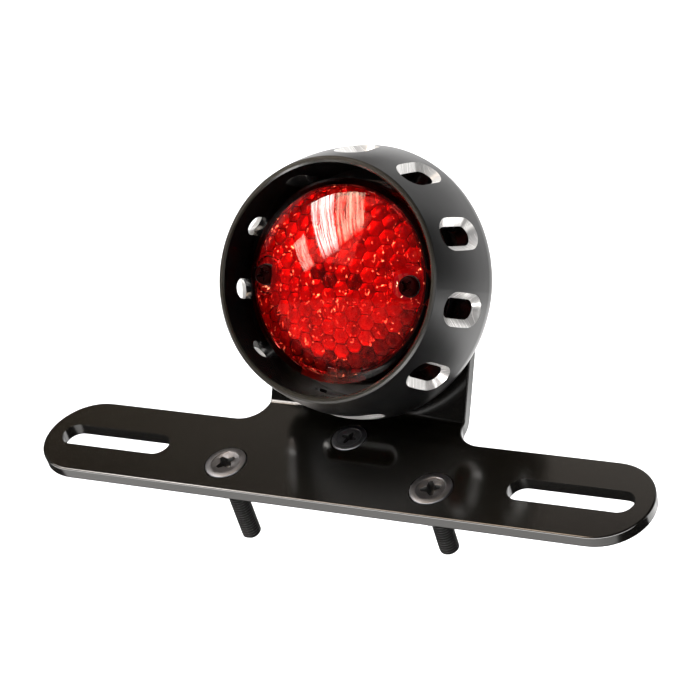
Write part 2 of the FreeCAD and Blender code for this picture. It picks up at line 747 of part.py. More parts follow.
def resistors():
    """Chip resistors in two rows on the back of the board."""
    chips = []
    for side in (-1, 1):
        for index in (-1, 0, 1):
            centre = V(CHIP_PITCH * index, BOARD_BACK + CHIP_T / 2, side * CHIP_OUT)
            chips.append(box(CHIP_LENGTH, CHIP_T, CHIP_WIDTH, centre))
    return group(chips)


def wire_terminal():
    depth = TERMINAL_END - BOARD_BACK
    shape = box(TERMINAL_WIDTH, depth, TERMINAL_HEIGHT, V(0, BOARD_BACK + depth / 2, 0))
    start = TERMINAL_END - TERMINAL_HOLE_DEPTH
    end = TERMINAL_END + OVER
    holes = [rod(TERMINAL_HOLE_R, start, end, index * TERMINAL_PITCH) for index in (-1, 0, 1)]
    return shape.cut(holes)


# ---- rear fixings ----
def rear_screws():
    seat = TAB_BACK + M4_WASHER_T + M4_SPRING_T
    length = seat - M4_TAP_END - TIP_GAP
    screw = pan_screw(M4_HEAD_R, M4_HEAD_T, M4_R, length, REAR_CROSS_SPAN * M4_HEAD_R)
    return group([facing_back(screw, x, seat) for x in REAR_SCREWS])


def rear_washers():
    return group([tube(M4_WASHER_R, M4_CLEAR_R, TAB_BACK, TAB_BACK + M4_WASHER_T, x) for x in REAR_SCREWS])


def rear_spring_washers():
    washer = split_washer(M4_SPRING_R, M4_CLEAR_R, M4_SPRING_T, M4_SPRING_GAP)
    return group([facing_back(washer, x, TAB_BACK + M4_WASHER_T) for x in REAR_SCREWS])


def cable_grommet():
    shape = rod(GROMMET_R, FLOOR_Y - GROMMET_INNER_LIP_T, TAB_BACK + GROMMET_LIP_T)
    lip = rod(GROMMET_LIP_R, TAB_BACK, TAB_BACK + GROMMET_LIP_T)
    outer = [e for e in lip.Edges if abs(e.CenterOfMass.y - TAB_BACK - GROMMET_LIP_T) < EPS]
    lip = lip.makeFillet(GROMMET_ROUND, outer)
    inner_lip = rod(GROMMET_INNER_LIP_R, FLOOR_Y - GROMMET_INNER_LIP_T, FLOOR_Y)
    bore = rod(GROMMET_BORE_R, FLOOR_Y - 3 * OVER, TAB_BACK + 3 * OVER)
    return shape.fuse([lip, inner_lip]).cut(bore)


def pieces():
    left_screw = flange_screw(LONG_SCREWS, LEFT_LENGTH, LEFT_TURN)
    right_screw = flange_screw(LONG_SCREWS, RIGHT_LENGTH, RIGHT_TURN)
    centre_screw = flange_screw(CENTRE_SCREW, CENTRE_LENGTH, CENTRE_TURN)
    return {
        "housing": housing(),
        "bracket": bracket(),
        "lens": lens(),
        "plate_light_window": clear_segment(),
        "lens_gasket": lens_gasket(),
        "lens_screw_seals": lens_screw_seals(),
        "lens_screw_left": lens_screw(-LENS_SCREW_X, LENS_LEFT_TURN),
        "lens_screw_right": lens_screw(LENS_SCREW_X, LENS_RIGHT_TURN),
        "lamp_base": lamp_base(),
        "base_screws": base_screws(),
        "reflector": reflector(),
        "tail_leds": tail_leds(),
        "circuit_board": circuit_board(),
        "board_screws": board_screws(),
        "resistors": resistors(),
        "wire_terminal": wire_terminal(),
        "plate_light_board": plate_light_board(),
        "plate_leds": plate_leds(),
        "cable_grommet": cable_grommet(),
        "rear_screws": rear_screws(),
        "rear_washers": rear_washers(),
        "rear_spring_washers": rear_spring_washers(),
        "mounting_screw_left": on_flange(left_screw, -SCREW_X, SCREW_S),
        "mounting_screw_right": on_flange(right_screw, SCREW_X, SCREW_S),
        "centre_screw": on_flange(centre_screw, 0, CENTRE_S),
        "flat_washers": at_each_screw(flat_washer),
        "mounting_nuts": at_each_screw(nut),
    }


def main():
    os.makedirs("parts", exist_ok=True)
    fender_mount = FLANGE.multVec(V(0, -SCREW_S, -PLATE_T))
    for name, shape in pieces().items():
        shape = shape.copy()
        shape.translate(fender_mount.negative())
        shape.exportStep("parts/" + name + ".step")
        print(name, len(shape.Solids), round(shape.Volume, 1), shape.isValid())
    print("fender mount in the drawing frame", fender_mount)


main()
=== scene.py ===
import json
import math
import random

import bmesh
import bpy
from mathutils import Matrix, Vector


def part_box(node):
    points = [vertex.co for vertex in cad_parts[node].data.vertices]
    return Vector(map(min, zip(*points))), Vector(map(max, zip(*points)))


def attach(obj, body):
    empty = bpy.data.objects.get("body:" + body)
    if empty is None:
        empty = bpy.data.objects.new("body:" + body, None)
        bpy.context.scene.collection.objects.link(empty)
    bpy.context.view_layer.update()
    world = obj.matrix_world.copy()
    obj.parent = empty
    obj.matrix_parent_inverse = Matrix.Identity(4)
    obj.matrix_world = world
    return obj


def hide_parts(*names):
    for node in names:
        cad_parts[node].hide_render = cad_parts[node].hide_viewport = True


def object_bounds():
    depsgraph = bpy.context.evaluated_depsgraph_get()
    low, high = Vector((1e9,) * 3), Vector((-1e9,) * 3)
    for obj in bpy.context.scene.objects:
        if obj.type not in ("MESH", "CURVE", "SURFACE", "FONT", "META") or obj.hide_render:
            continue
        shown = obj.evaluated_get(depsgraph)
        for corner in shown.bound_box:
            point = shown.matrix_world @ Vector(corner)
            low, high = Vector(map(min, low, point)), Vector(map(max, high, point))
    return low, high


# A motorcycle tail light on its number-plate bracket: finishes for the CAD nodes, the lens's
# optics and the flange screws as detailed pieces, and a studio. Lengths are in metres, except
# where a section says mm.
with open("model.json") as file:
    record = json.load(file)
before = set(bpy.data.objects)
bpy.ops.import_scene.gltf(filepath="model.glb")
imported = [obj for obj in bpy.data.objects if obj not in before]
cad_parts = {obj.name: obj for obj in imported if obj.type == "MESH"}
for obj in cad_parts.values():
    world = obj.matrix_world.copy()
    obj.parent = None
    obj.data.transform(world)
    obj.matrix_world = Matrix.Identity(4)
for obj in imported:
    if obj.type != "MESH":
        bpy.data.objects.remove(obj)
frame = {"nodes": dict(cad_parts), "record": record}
cad_low, cad_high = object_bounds()

MM = 0.001
BODY = "root"
SEED = 11

# ---- where the lamp and the flange lie in the part's frame ----
LENS_LOW, LENS_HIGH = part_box("lens")
LAMP_Z = (LENS_LOW.z + LENS_HIGH.z) / 2
RIM_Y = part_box("housing")[0].y
FLANGE_TILT = math.radians(40.8)
MOUNTS = {m["name"]: m for m in frame["record"]["mounts"]}

# ---- camera ----
CAMERA_AZIMUTH = math.radians(28.353)
CAMERA_ELEVATION = math.radians(1.967)
CAMERA_ROLL = math.radians(-4.594)
CAMERA_DISTANCE = 608.458 * MM
CAMERA_SIDE = 6.141 * MM
CAMERA_LIFT = -16.918 * MM
CAMERA_LENS = 130.4

# ---- the housing's finish, with depths behind the rim plane in mm ----
RIM_FACE = 0.35
SLOT_Y_START = 3.2
SLOT_Y_END = 19.2
# A slot's chamfer has its cosine to the outward direction between these two.
CHAMFER_LEAN_LOW = 0.45
CHAMFER_LEAN_HIGH = 0.86

# ---- lens and its optics, in mm; depths are behind the rim plane ----
DOME_RADIUS = 49.6
DOME_APEX = 0.6
CROWN_DEPTH = 0.7
LENS_WALL = 1.8
OPTIC_GAP = 0.12
CELL_PITCH = 3.75
CELL_RINGS = (0.93, 0.8, 0.6, 0.35)
CELL_SIDES = 12
CELL_BULGE = 0.42
CELL_GROOVE = 0.3
OPTIC_RADIUS = 22.7
WELL_X = 19.9
BOSS_RADIUS = 5.0
SKIRT_RADIUS = 23.05
SKIRT_START = 7.6
SKIRT_END = 8.5
SLEEVE_END = 11.2
SLEEVE_SIDES = 72

# ---- painted light on the cells: where it falls, in mm, how much, from 0 to 1, and how strongly the cells' painted glow and painted glints shine ----
PAINTED_LIGHT_RADIUS = 18.9
PAINTED_LIGHT_CENTRE = (2.1, 0.9)
PAINTED_LIGHT_JITTER = 0.4
RING_PAINTED_LIGHT = 0.7
RING_FALL = 1.4
# Two cells painted as shaded, and how far that painted shade reaches, in mm.
DARK_CELLS = ((-1.35, 1.33), (5.87, 0.65))
DARK_REACH = 0.55 * CELL_PITCH
DARK_PAINTED_LIGHT = 0.12
# Painted light on the rim's band and on the sleeves round the two bosses.
SKIRT_PAINTED_LIGHT = 0.6
SLEEVE_PAINTED_LIGHT = 0.15
SLEEVE_TONE = 0.5
# Strength of the painted glow of the lit cells and of the painted glints.
PAINTED_GLOW = 0.13
PAINTED_GLINT_GLOW = 13.0

# ---- finishes ----
STEEL_TONES = ((0.060, 0.062, 0.067), (0.105, 0.107, 0.115))
# The shanks and the deep cross recesses of the flange screws: a darker copy of the black steel, painted
# shade.
THREAD_SHADE_TONES = ((0.006, 0.006, 0.006), (0.014, 0.013, 0.012))
# The screws in the lens's wells: a darker, redder copy of the black steel, painted shade and a painted
# reflection of the red lens.
WELL_SHADE_AND_RED_REFLECTION = ((0.006, 0.0003, 0.0003), (0.022, 0.0006, 0.0006))
RIM_TONE = (0.020, 0.017, 0.012)
ACRYLIC_IOR = 1.49
RED_TINT = (0.95, 0.11, 0.085)
RED_SHADOW = (0.96, 0.40, 0.30)
CLEAR_TINT = (0.93, 0.95, 0.95)
CLEAR_SHADOW = (0.9, 0.92, 0.92)

# ---- mounting screws, in mm; heights are from the plate's upper face ----
# The cone's edge sits below the face, under an upright rim; the tail overlaps the shank.
HEAD_SINK = 0.3
HEAD_LAND = 0.55
HEAD_SIDES = 96
HEAD_TAIL = 0.4
RIM_ROUND = 0.22
RIM_CHAMFER = 0.08
LAND_EDGE = 0.25
DISH_EDGE = 0.12
DISH_SLOPE = 0.2
DISH_DEPTH = 0.15
DISH_BREAK = 0.6
SOFT_EDGE = 0.07
RECESS_SHADE = 0.12
SHANK_SIDES = 56
THREAD_STEPS = 12
CREST_SHARE = 0.12
FLANK_SHARE = 0.7
NUT_END = 0.3
TIP_CHAMFER = 0.7
TIP_SHY = 0.01
# Levels of the cross recess: shares of its depth, span and width. The mouth has the last two.
CROSS_LEVELS = ((0.55, 0.78, 0.85), (1.0, 0.34, 0.6))
CROSS_MOUTH = (1.06, 1.1)
CROSS_LIFT = 0.4
CROSS_POINT = 0.35
CROSS_END = (0.97, 0.7)
CROSS_WAIST = 1.45
CENTRE_LENGTH = 12.0
CENTRE_RISE = 13.7
LEFT_TURN = math.radians(37)
RIGHT_TURN = math.radians(-23)
CENTRE_TURN = math.radians(12)
LONG_SCREWS = {
    "head": 5.33,
    "dish": 3.7,
    "thread": 2.5,
    "root": 2.04,
    "shank": 2.1,
    "pitch": 0.8,
    "cross": 5.3,
    "cross_width": 1.35,
    "cross_depth": 1.9,
    "stack": 8.6,
}
CENTRE_SCREW = {
    "head": 4.48,
    "dish": 3.1,
    "thread": 2.0,
    "root": 1.61,
    "shank": 1.65,
    "pitch": 0.7,
    "cross": 4.5,
    "cross_width": 0.9,
    "cross_depth": 1.6,
    "stack": 7.2,
}


def around(azimuth, elevation, distance, centre):
    """A point round a centre; azimuth 0 is in front of the lamp, and positive towards +X."""
    a = math.radians(azimuth)
    e = math.radians(elevation)
    way = Vector((math.sin(a) * math.cos(e), -math.cos(a) * math.cos(e), math.sin(e)))
    return Vector(centre) + way * distance


# ---- studio, in metres and watts ----
MIDDLE = (0, 0, 0.03)
WORLD_GLOW = 0.05
SWEEP_Z = cad_low.z - 65 * MM
SWEEP_RADIUS = 0.5
SWEEP_STEPS = 16
SWEEP_BACK = 1.6
SWEEP_HALF = 0.6
SWEEP_FRONT = -0.6
SWEEP_TOP = 3.5
# Soft lamps that nothing mirrors: name, centre, point faced, width, height, power.
SOFTBOXES = (
    ("overhead", (0.1, -0.3, 1.5), MIDDLE, 1.6, 1.6, 26),
    ("fill_front", around(-30, 25, 1.6, MIDDLE), MIDDLE, 0.9, 0.9, 10),
    ("wall_wash", (0, 0.9, 1.4), (-0.5, 1.6, 0.2), 2.4, 0.6, 45),
)
# Cards seen only in reflections and through clear plastic: centre, point faced, width, height.
CARD_Z = cad_low.z - 30 * MM
CARDS = {
    "table_card": ((0, -0.014, CARD_Z), (0, -0.014, 1), 0.36, 0.018),
    "front_card": ((0, -0.036, -0.027), (0, 0, -0.027), 0.46, 0.03),
    "ceiling_card": ((-0.65, 0.12, 1.2), (-0.65, 0.12, 0), 1.2, 1.2),
    "backdrop_card": ((0.1, 1.3, 0.55), (0.1, 0, 0.55), 2.6, 1.2),
    "backdrop_floor": ((0.3, 0.72, CARD_Z), (0.3, 0.72, 1), 2.0, 1.16),
    "upper_card": (around(163, 52, 1.3, MIDDLE), MIDDLE, 1.1, 0.7),
    "strip_card": (around(64, 0, 0.9, MIDDLE), MIDDLE, 0.12, 0.5),
}
# Tint and strength of the even cards; the ceiling card runs from one colour to another.
CARD_GLOW = {
    "table_card": ((1.0, 0.98, 0.95), 2.5),
    "front_card": ((1.0, 0.98, 0.96), 14.0),
    "backdrop_card": ((1.0, 0.99, 0.98), 1.8),
    "backdrop_floor": ((1.0, 0.99, 0.98), 3.4),
    "upper_card": ((1.0, 0.99, 0.98), 1.1),
    "strip_card": ((1.0, 0.98, 0.96), 5.0),
}
CEILING_SHADES = ((0.95, 0.86, 0.78), (0.12, 0.083, 0.03))
# Window panes that the lens mirrors: corners as (azimuth, elevation) seen from the lens.
PANES = (
    ((-82, 43), (-73, 55), (-23, 16), (-32, 10)),
    ((-71, 55), (-48, 65), (-11, 30), (-23, 18)),
    ((-57, 14), (-52, 20), (-38, 6), (-44, 2)),
)
PANE_GLOW = (42.0, 22.0, 20.0)
PANE_TINTS = ((1.0, 0.93, 0.88), (1.0, 0.78, 0.58), (1.0, 0.80, 0.66))
PANE_DISTANCE = 0.9
PANE_CUTS = 12


# ---------------------------------------------------------------- node helpers
class Nodes:
    """A small builder for a material's node tree."""

    def __init__(self, name):
        self.material = bpy.data.materials.new(name)
        self.material.use_nodes = True
        self.tree = self.material.node_tree
        self.tree.nodes.clear()
        self.output = self.add("ShaderNodeOutputMaterial")

    def add(self, kind, **values):
        node = self.tree.nodes.new(kind)
        for key, value in values.items():
            setattr(node, key, value)
        return node

    def link(self, out, into):
        self.tree.links.new(out, into)

    def feed(self, value, into):
        """Sets a socket from a colour or a number, or links another socket to it."""
        if isinstance(value, tuple):
            into.default_value = (*value, 1)
        elif isinstance(value, (int, float)):
            into.default_value = value
        else:
            self.link(value, into)

    def coords(self):
        """Place on the object, in metres in the part's frame."""
        return self.add("ShaderNodeTexCoord").outputs["Object"]

    def split(self, vector):
        node = self.add("ShaderNodeSeparateXYZ")
        self.link(vector, node.inputs[0])
        return node.outputs

    def vector(self, operation, first, second=None):
        node = self.add("ShaderNodeVectorMath", operation=operation)
        self.link(first, node.inputs[0])
        if second is not None:
            self.link(second, node.inputs[1])
        return node.outputs

    def noise(self, scale, detail=4.0, roughness=0.55, stretch=None):
        """Noise of that many cells a metre, from 0 to 1."""
        source = self.coords()
        if stretch is not None:
            mapping = self.add("ShaderNodeMapping")
            mapping.inputs["Scale"].default_value = stretch
            self.link(source, mapping.inputs["Vector"])
            source = mapping.outputs["Vector"]
        node = self.add("ShaderNodeTexNoise")
        node.inputs["Scale"].default_value = scale
        node.inputs["Detail"].default_value = detail
        node.inputs["Roughness"].default_value = roughness
        self.link(source, node.inputs["Vector"])
        return node.outputs["Fac"]

    def ramp(self, source, stops):
        """Colour ramp of (position, colour) stops."""
        node = self.add("ShaderNodeValToRGB")
        elements = node.color_ramp.elements
        while len(elements) < len(stops):
            elements.new(0.5)
        for element, (position, colour) in zip(elements, stops):
            element.position = position
            element.color = (*colour, 1)
        self.link(source, node.inputs["Fac"])
        return node.outputs["Color"]

    def span(self, source, low, high, start=0.0, end=1.0):
        """Maps start..end onto low..high."""
        node = self.add("ShaderNodeMapRange")
        node.inputs["From Min"].default_value = start
        node.inputs["From Max"].default_value = end
        node.inputs["To Min"].default_value = low
        node.inputs["To Max"].default_value = high
        self.link(source, node.inputs["Value"])
        return node.outputs["Result"]

    def maths(self, operation, first, second=None):
        node = self.add("ShaderNodeMath", operation=operation)
        self.feed(first, node.inputs[0])
        if second is not None:
            self.feed(second, node.inputs[1])
        return node.outputs[0]

    def mix(self, factor, first, second):
        """Colour mix; each side is a colour or a socket."""
        node = self.add("ShaderNodeMix", data_type="RGBA")
        self.link(factor, node.inputs[0])
        self.feed(first, node.inputs[6])
        self.feed(second, node.inputs[7])
        return node.outputs[2]

    def mix_number(self, factor, first, second):
        node = self.add("ShaderNodeMix", data_type="FLOAT")
        self.link(factor, node.inputs[0])
        self.link(first, node.inputs[2])
        self.link(second, node.inputs[3])
        return node.outputs[0]

    def mix_vector(self, factor, first, second):
        node = self.add("ShaderNodeMix", data_type="VECTOR")
        self.link(factor, node.inputs[0])
        self.link(first, node.inputs[4])
        self.link(second, node.inputs[5])
        return node.outputs[1]

    def bump(self, height, strength, distance, normal=None):
        node = self.add("ShaderNodeBump")
        node.inputs["Strength"].default_value = strength
        node.inputs["Distance"].default_value = distance
        self.link(height, node.inputs["Height"])
        if normal is not None:
            self.link(normal, node.inputs["Normal"])
        return node.outputs["Normal"]

    def edges(self, radius, low, high):
        """1 on edges, 0 on flat ground, from the angle a bevelled normal turns through; callers pale
        them as wear and painted highlight.
        """
        bevel = self.add("ShaderNodeBevel", samples=4)
        bevel.inputs["Radius"].default_value = radius
        geometry = self.add("ShaderNodeNewGeometry")
        dot = self.vector("DOT_PRODUCT", bevel.outputs["Normal"], geometry.outputs["Normal"])
        return self.span(dot["Value"], 1.0, 0.0, low, high)

    def principled(self, colour, roughness, metallic=0.0, normal=None, **others):
        """The usual shader; other sockets go by name, with _ for a space."""
        node = self.add("ShaderNodeBsdfPrincipled")
        self.feed(colour, node.inputs["Base Color"])
        self.feed(roughness, node.inputs["Roughness"])
        self.feed(metallic, node.inputs["Metallic"])
        for name, value in others.items():
            self.feed(value, node.inputs[name.replace("_", " ")])
        if normal is not None:
            self.link(normal, node.inputs["Normal"])
        return node.outputs[0]

    def emission(self, colour, strength):
        node = self.add("ShaderNodeEmission")
        self.feed(colour, node.inputs["Color"])
        self.link(strength, node.inputs["Strength"])
        return node.outputs[0]

    def lets_light_in(self, glass, tint):
        """The glass to every ray but a shadow ray, which passes it tinted."""
        passing = self.add("ShaderNodeBsdfTransparent")
        passing.inputs["Color"].default_value = (*tint, 1)
        path = self.add("ShaderNodeLightPath")
        both = self.add("ShaderNodeMixShader")
        self.link(path.outputs["Is Shadow Ray"], both.inputs[0])
        self.link(glass, both.inputs[1])
        self.link(passing.outputs[0], both.inputs[2])
        return both.outputs[0]

    def finish(self, shader):
        self.link(shader, self.output.inputs["Surface"])
        return self.material


# ---------------------------------------------------------------- materials
def anodised_aluminium():
    """Satin black anodising, cut back to bright machined metal on the slot chamfers."""
    n = Nodes("black_anodised")
    place = n.split(n.coords())
    y = place["Y"]
    radial = n.add("ShaderNodeCombineXYZ")
    n.link(place["X"], radial.inputs["X"])
    n.link(n.maths("SUBTRACT", place["Z"], LAMP_Z), radial.inputs["Z"])
    outward = n.vector("NORMALIZE", radial.outputs[0])["Vector"]
    geometry = n.add("ShaderNodeNewGeometry")
    tilt = n.vector("DOT_PRODUCT", geometry.outputs["True Normal"], outward)["Value"]
    steep = n.maths("LESS_THAN", tilt, CHAMFER_LEAN_HIGH)
    shallow = n.maths("GREATER_THAN", tilt, CHAMFER_LEAN_LOW)
    behind = n.maths("GREATER_THAN", y, RIM_Y + SLOT_Y_START * MM)
    before = n.maths("LESS_THAN", y, RIM_Y + SLOT_Y_END * MM)
    band = n.maths("MULTIPLY", steep, shallow)
    reach = n.maths("MULTIPLY", behind, before)
    bare = n.maths("MULTIPLY", band, reach)

    grain = n.noise(2600.0, detail=3.0)
    broad = n.noise(45.0, detail=3.0)
    turned = n.noise(900.0, detail=2.0, stretch=(0.15, 6.0, 0.15))
    tone = n.maths("ADD", n.maths("MULTIPLY", broad, 0.6), n.maths("MULTIPLY", grain, 0.4))
    black = n.ramp(tone, ((0.3, (0.0025, 0.0025, 0.0027)), (0.7, (0.0055, 0.005, 0.005))))
    metal = n.ramp(turned, ((0.3, (0.74, 0.72, 0.70)), (0.7, (0.92, 0.91, 0.89))))
    colour = n.mix(bare, black, metal)
    rim = n.maths("LESS_THAN", y, RIM_Y + RIM_FACE * MM)
    colour = n.mix(rim, colour, RIM_TONE)
    inside = n.maths("LESS_THAN", tilt, 0.0)
    satin = n.span(tone, 0.26, 0.4)
    satin = n.maths("SUBTRACT", satin, n.maths("MULTIPLY", inside, 0.18))
    cut = n.span(turned, 0.16, 0.34)
    roughness = n.mix_number(bare, satin, cut)
    normal = n.bump(grain, strength=0.06, distance=0.00006)
    normal = n.bump(turned, strength=0.05, distance=0.00006, normal=normal)
    shader = n.principled(colour, roughness, n.maths("MULTIPLY", bare, 0.4), normal)
    return n.finish(shader)


def bracket_paint():
    """Semi-gloss black paint with fine orange peel, dust, and paler edges: thin wear and a painted
    highlight.
    """
    n = Nodes("bracket_paint")
    peel = n.noise(620.0, detail=2.0)
    broad = n.noise(28.0, detail=3.0)
    dust = n.noise(5200.0, detail=2.0)
    black = n.ramp(broad, ((0.35, (0.0032, 0.0026, 0.0018)), (0.7, (0.0052, 0.0043, 0.003))))
    speck = n.span(dust, 0.0, 1.0, start=0.74, end=0.78)
    colour = n.mix(speck, black, (0.05, 0.045, 0.038))
    edge = n.edges(0.00035, low=0.93, high=0.999)
    # Paler edges: thin wear, and a painted highlight along the rounded edges.
    wear_and_painted_highlight = n.maths("MULTIPLY", edge, n.span(n.noise(900.0, detail=3.0), 0.0, 0.35, start=0.5, end=0.75))
    colour = n.mix(wear_and_painted_highlight, colour, (0.14, 0.135, 0.13))
    roughness = n.span(broad, 0.10, 0.17)
    normal = n.bump(peel, strength=0.05, distance=0.0001)
    shader = n.principled(colour, roughness, normal=normal, IOR=1.55)
    return n.finish(shader)


def dome_normal(n):
    """The shading normal, replaced over the dome's crown by the sphere's own direction."""
    outward = n.add("ShaderNodeVectorMath", operation="SUBTRACT")
    n.link(n.coords(), outward.inputs[0])
    outward.inputs[1].default_value = (0, RIM_Y + (DOME_APEX + DOME_RADIUS) * MM, LAMP_Z)
    exact = n.vector("NORMALIZE", outward.outputs[0])["Vector"]
    crown = n.maths("LESS_THAN", n.split(n.coords())["Y"], RIM_Y + CROWN_DEPTH * MM)
    geometry = n.add("ShaderNodeNewGeometry")
    seen_side = n.vector("SCALE", exact)["Vector"]
    sign = n.span(geometry.outputs["Backfacing"], 1.0, -1.0)
    n.link(sign, seen_side.node.inputs["Scale"])
    return n.mix_vector(crown, geometry.outputs["Normal"], seen_side)


def red_plastic():
    """Clear red moulded acrylic. Lamp light passes it tinted, so that the inside is lit."""
    n = Nodes("red_lens")
    haze = n.noise(700.0, detail=3.0)
    scratch = n.noise(260.0, detail=4.0, stretch=(1.0, 1.0, 0.12))
    roughness = n.span(haze, 0.015, 0.05)
    normal = n.bump(scratch, strength=0.02, distance=0.00005, normal=dome_normal(n))
    glass = n.principled(
        RED_TINT,
        roughness,
        normal=normal,
        Transmission_Weight=1.0,
        IOR=ACRYLIC_IOR,
    )
    return n.finish(n.lets_light_in(glass, RED_SHADOW))


def red_optics():
    """The moulded honeycomb inside the lens, with painted light: bright and glowing over the lamp,
    painted shade outside it, painted glints, and painted shade in the grooves.
    """
    n = Nodes("red_optics")
    # Each cell's random tone, its share of painted light, and its groove mask.
    tone = n.add("ShaderNodeAttribute", attribute_name="cell_tone").outputs["Fac"]
    lit = n.add("ShaderNodeAttribute", attribute_name="cell_painted_light").outputs["Fac"]
    groove = n.add("ShaderNodeAttribute", attribute_name="cell_groove").outputs["Fac"]
    fleck = n.noise(800.0, detail=3.0, roughness=0.65)
    swirl = n.noise(560.0, detail=3.0, roughness=0.6, stretch=(1.0, 1.0, 0.6))
    blend = n.maths("ADD", n.maths("MULTIPLY", tone, 0.22), n.maths("MULTIPLY", swirl, 0.87))
    # Painted light: a lit red for the cells over the lamp, a shaded red for those outside, mixed by the
    # painted light share.
    bright = n.ramp(
        blend,
        (
            (0.34, (0.20, 0.0025, 0.005)),
            (0.44, (0.35, 0.006, 0.013)),
            (0.58, (0.42, 0.009, 0.02)),
            (0.72, (0.55, 0.06, 0.04)),
        ),
    )
    dark = n.ramp(
        blend,
        (
            (0.34, (0.004, 0.0001, 0.0002)),
            (0.50, (0.03, 0.0004, 0.0008)),
            (0.66, (0.15, 0.002, 0.003)),
        ),
    )
    colour = n.mix(lit, dark, bright)
    # Painted shade in the grooves between the cells, deeper in patches.
    depth = n.span(n.noise(70.0, detail=2.0), 0.1, 0.85, start=0.42, end=0.58)
    colour = n.mix(n.maths("MULTIPLY", groove, depth), colour, (0.035, 0.0005, 0.0006))
    # Painted glints: thin curling lines in clusters, pale, only where painted light falls.
    curl = n.noise(850.0, detail=1.0, roughness=0.4, stretch=(1.0, 1.0, 0.7))
    off_line = n.maths("ABSOLUTE", n.maths("SUBTRACT", curl, 0.5))
    thread = n.span(off_line, 1.0, 0.0, start=0.01, end=0.05)
    dots = n.noise(900.0, detail=2.0, roughness=0.5, stretch=(1.0, 1.0, 0.6))
    clusters = n.span(n.noise(110.0, detail=2.0), 0.25, 1.0, start=0.43, end=0.56)
    spots = n.maths("MULTIPLY", n.span(dots, 0.0, 1.0, start=0.58, end=0.68), clusters)
    painted_glint = n.maths("MULTIPLY", n.maths("MULTIPLY", thread, spots), lit)
    colour = n.mix(painted_glint, colour, (0.75, 1.0, 0.55))
    # Painted glow: the lit cells and the glints give off light, though the lamp is unlit.
    own = n.maths(
        "ADD",
        n.maths("MULTIPLY", lit, PAINTED_GLOW),
        n.maths("MULTIPLY", painted_glint, PAINTED_GLINT_GLOW),
    )
    normal = n.bump(fleck, strength=0.5, distance=0.0003)
    shader = n.principled(
        colour,
        roughness=0.14,
        metallic=0.3,
        normal=normal,
        IOR=ACRYLIC_IOR,
        Coat_Weight=0.25,
        Coat_Roughness=0.05,
        Specular_IOR_Level=0.25,
        Emission_Color=colour,
        Emission_Strength=own,
    )
    return n.finish(shader)


def clear_plastic():
    """Clear moulded window under the lamp."""
    n = Nodes("clear_lens")
    haze = n.noise(700.0, detail=3.0)
    ribs = n.add("ShaderNodeTexWave", wave_type="BANDS", bands_direction="X")
    ribs.inputs["Scale"].default_value = 240.0
    ribs.inputs["Distortion"].default_value = 0.3
    n.link(n.coords(), ribs.inputs["Vector"])
    normal = n.bump(ribs.outputs["Fac"], strength=0.4, distance=0.0003)
    glass = n.principled(
        CLEAR_TINT,
        n.span(haze, 0.04, 0.12),
        normal=normal,
        Transmission_Weight=1.0,
        IOR=ACRYLIC_IOR,
    )
    return n.finish(n.lets_light_in(glass, CLEAR_SHADOW))


def rubber():
    """Dull moulded black rubber."""
    n = Nodes("seal_rubber")
    grain = n.noise(1800.0, detail=4.0)
    broad = n.noise(120.0, detail=3.0)
    colour = n.ramp(broad, ((0.3, (0.012, 0.012, 0.012)), (0.75, (0.026, 0.025, 0.024))))
    normal = n.bump(grain, strength=0.25, distance=0.0001)
    shader = n.principled(colour, n.span(grain, 0.55, 0.8), normal=normal, Specular_IOR_Level=0.35)
    return n.finish(shader)


def moulded_plastic():
    """Black plastic with the fine texture of its mould."""
    n = Nodes("black_plastic")
    spark = n.noise(1400.0, detail=3.0)
    broad = n.noise(90.0, detail=3.0)
    colour = n.ramp(broad, ((0.3, (0.010, 0.010, 0.011)), (0.75, (0.022, 0.022, 0.023))))
    normal = n.bump(spark, strength=0.2, distance=0.0001)
    shader = n.principled(colour, n.span(spark, 0.35, 0.55), normal=normal)
    return n.finish(shader)


def plating():
    """Bright plating with a faint haze and orange peel."""
    n = Nodes("bright_plating")
    haze = n.noise(300.0, detail=4.0)
    peel = n.noise(480.0, detail=2.0)
    colour = n.ramp(haze, ((0.3, (0.74, 0.74, 0.76)), (0.8, (0.90, 0.90, 0.91))))
    normal = n.bump(peel, strength=0.08, distance=0.0001)
    shader = n.principled(colour, n.span(haze, 0.08, 0.2), metallic=1.0, normal=normal)
    return n.finish(shader)


def board_lacquer():
    """Green lacquer over the weave of a circuit board."""
    n = Nodes("board")
    weave = n.add("ShaderNodeTexBrick")
    n.feed(900.0, weave.inputs["Scale"])
    n.feed(0.03, weave.inputs["Mortar Size"])
    n.feed((0.012, 0.09, 0.03), weave.inputs["Color1"])
    n.feed((0.016, 0.11, 0.038), weave.inputs["Color2"])
    n.feed((0.008, 0.06, 0.02), weave.inputs["Mortar"])
    n.link(n.coords(), weave.inputs["Vector"])
    gloss = n.noise(220.0, detail=3.0)
    normal = n.bump(weave.outputs["Fac"], strength=0.1, distance=0.00005)
    roughness = n.span(gloss, 0.25, 0.4)
    shader = n.principled(weave.outputs["Color"], roughness, normal=normal, Coat_Weight=0.5)
    return n.finish(shader)


def emitter(name, low, high):
    """Cast epoxy of an unlit light-emitting diode."""
    n = Nodes(name)
    cloud = n.noise(420.0, detail=3.0)
    colour = n.ramp(cloud, ((0.3, low), (0.75, high)))
    normal = n.bump(cloud, strength=0.05, distance=0.0001)
    shader = n.principled(
        colour,
        n.span(cloud, 0.06, 0.16),
        normal=normal,
        IOR=1.52,
        Coat_Weight=0.6,
    )
    return n.finish(shader)


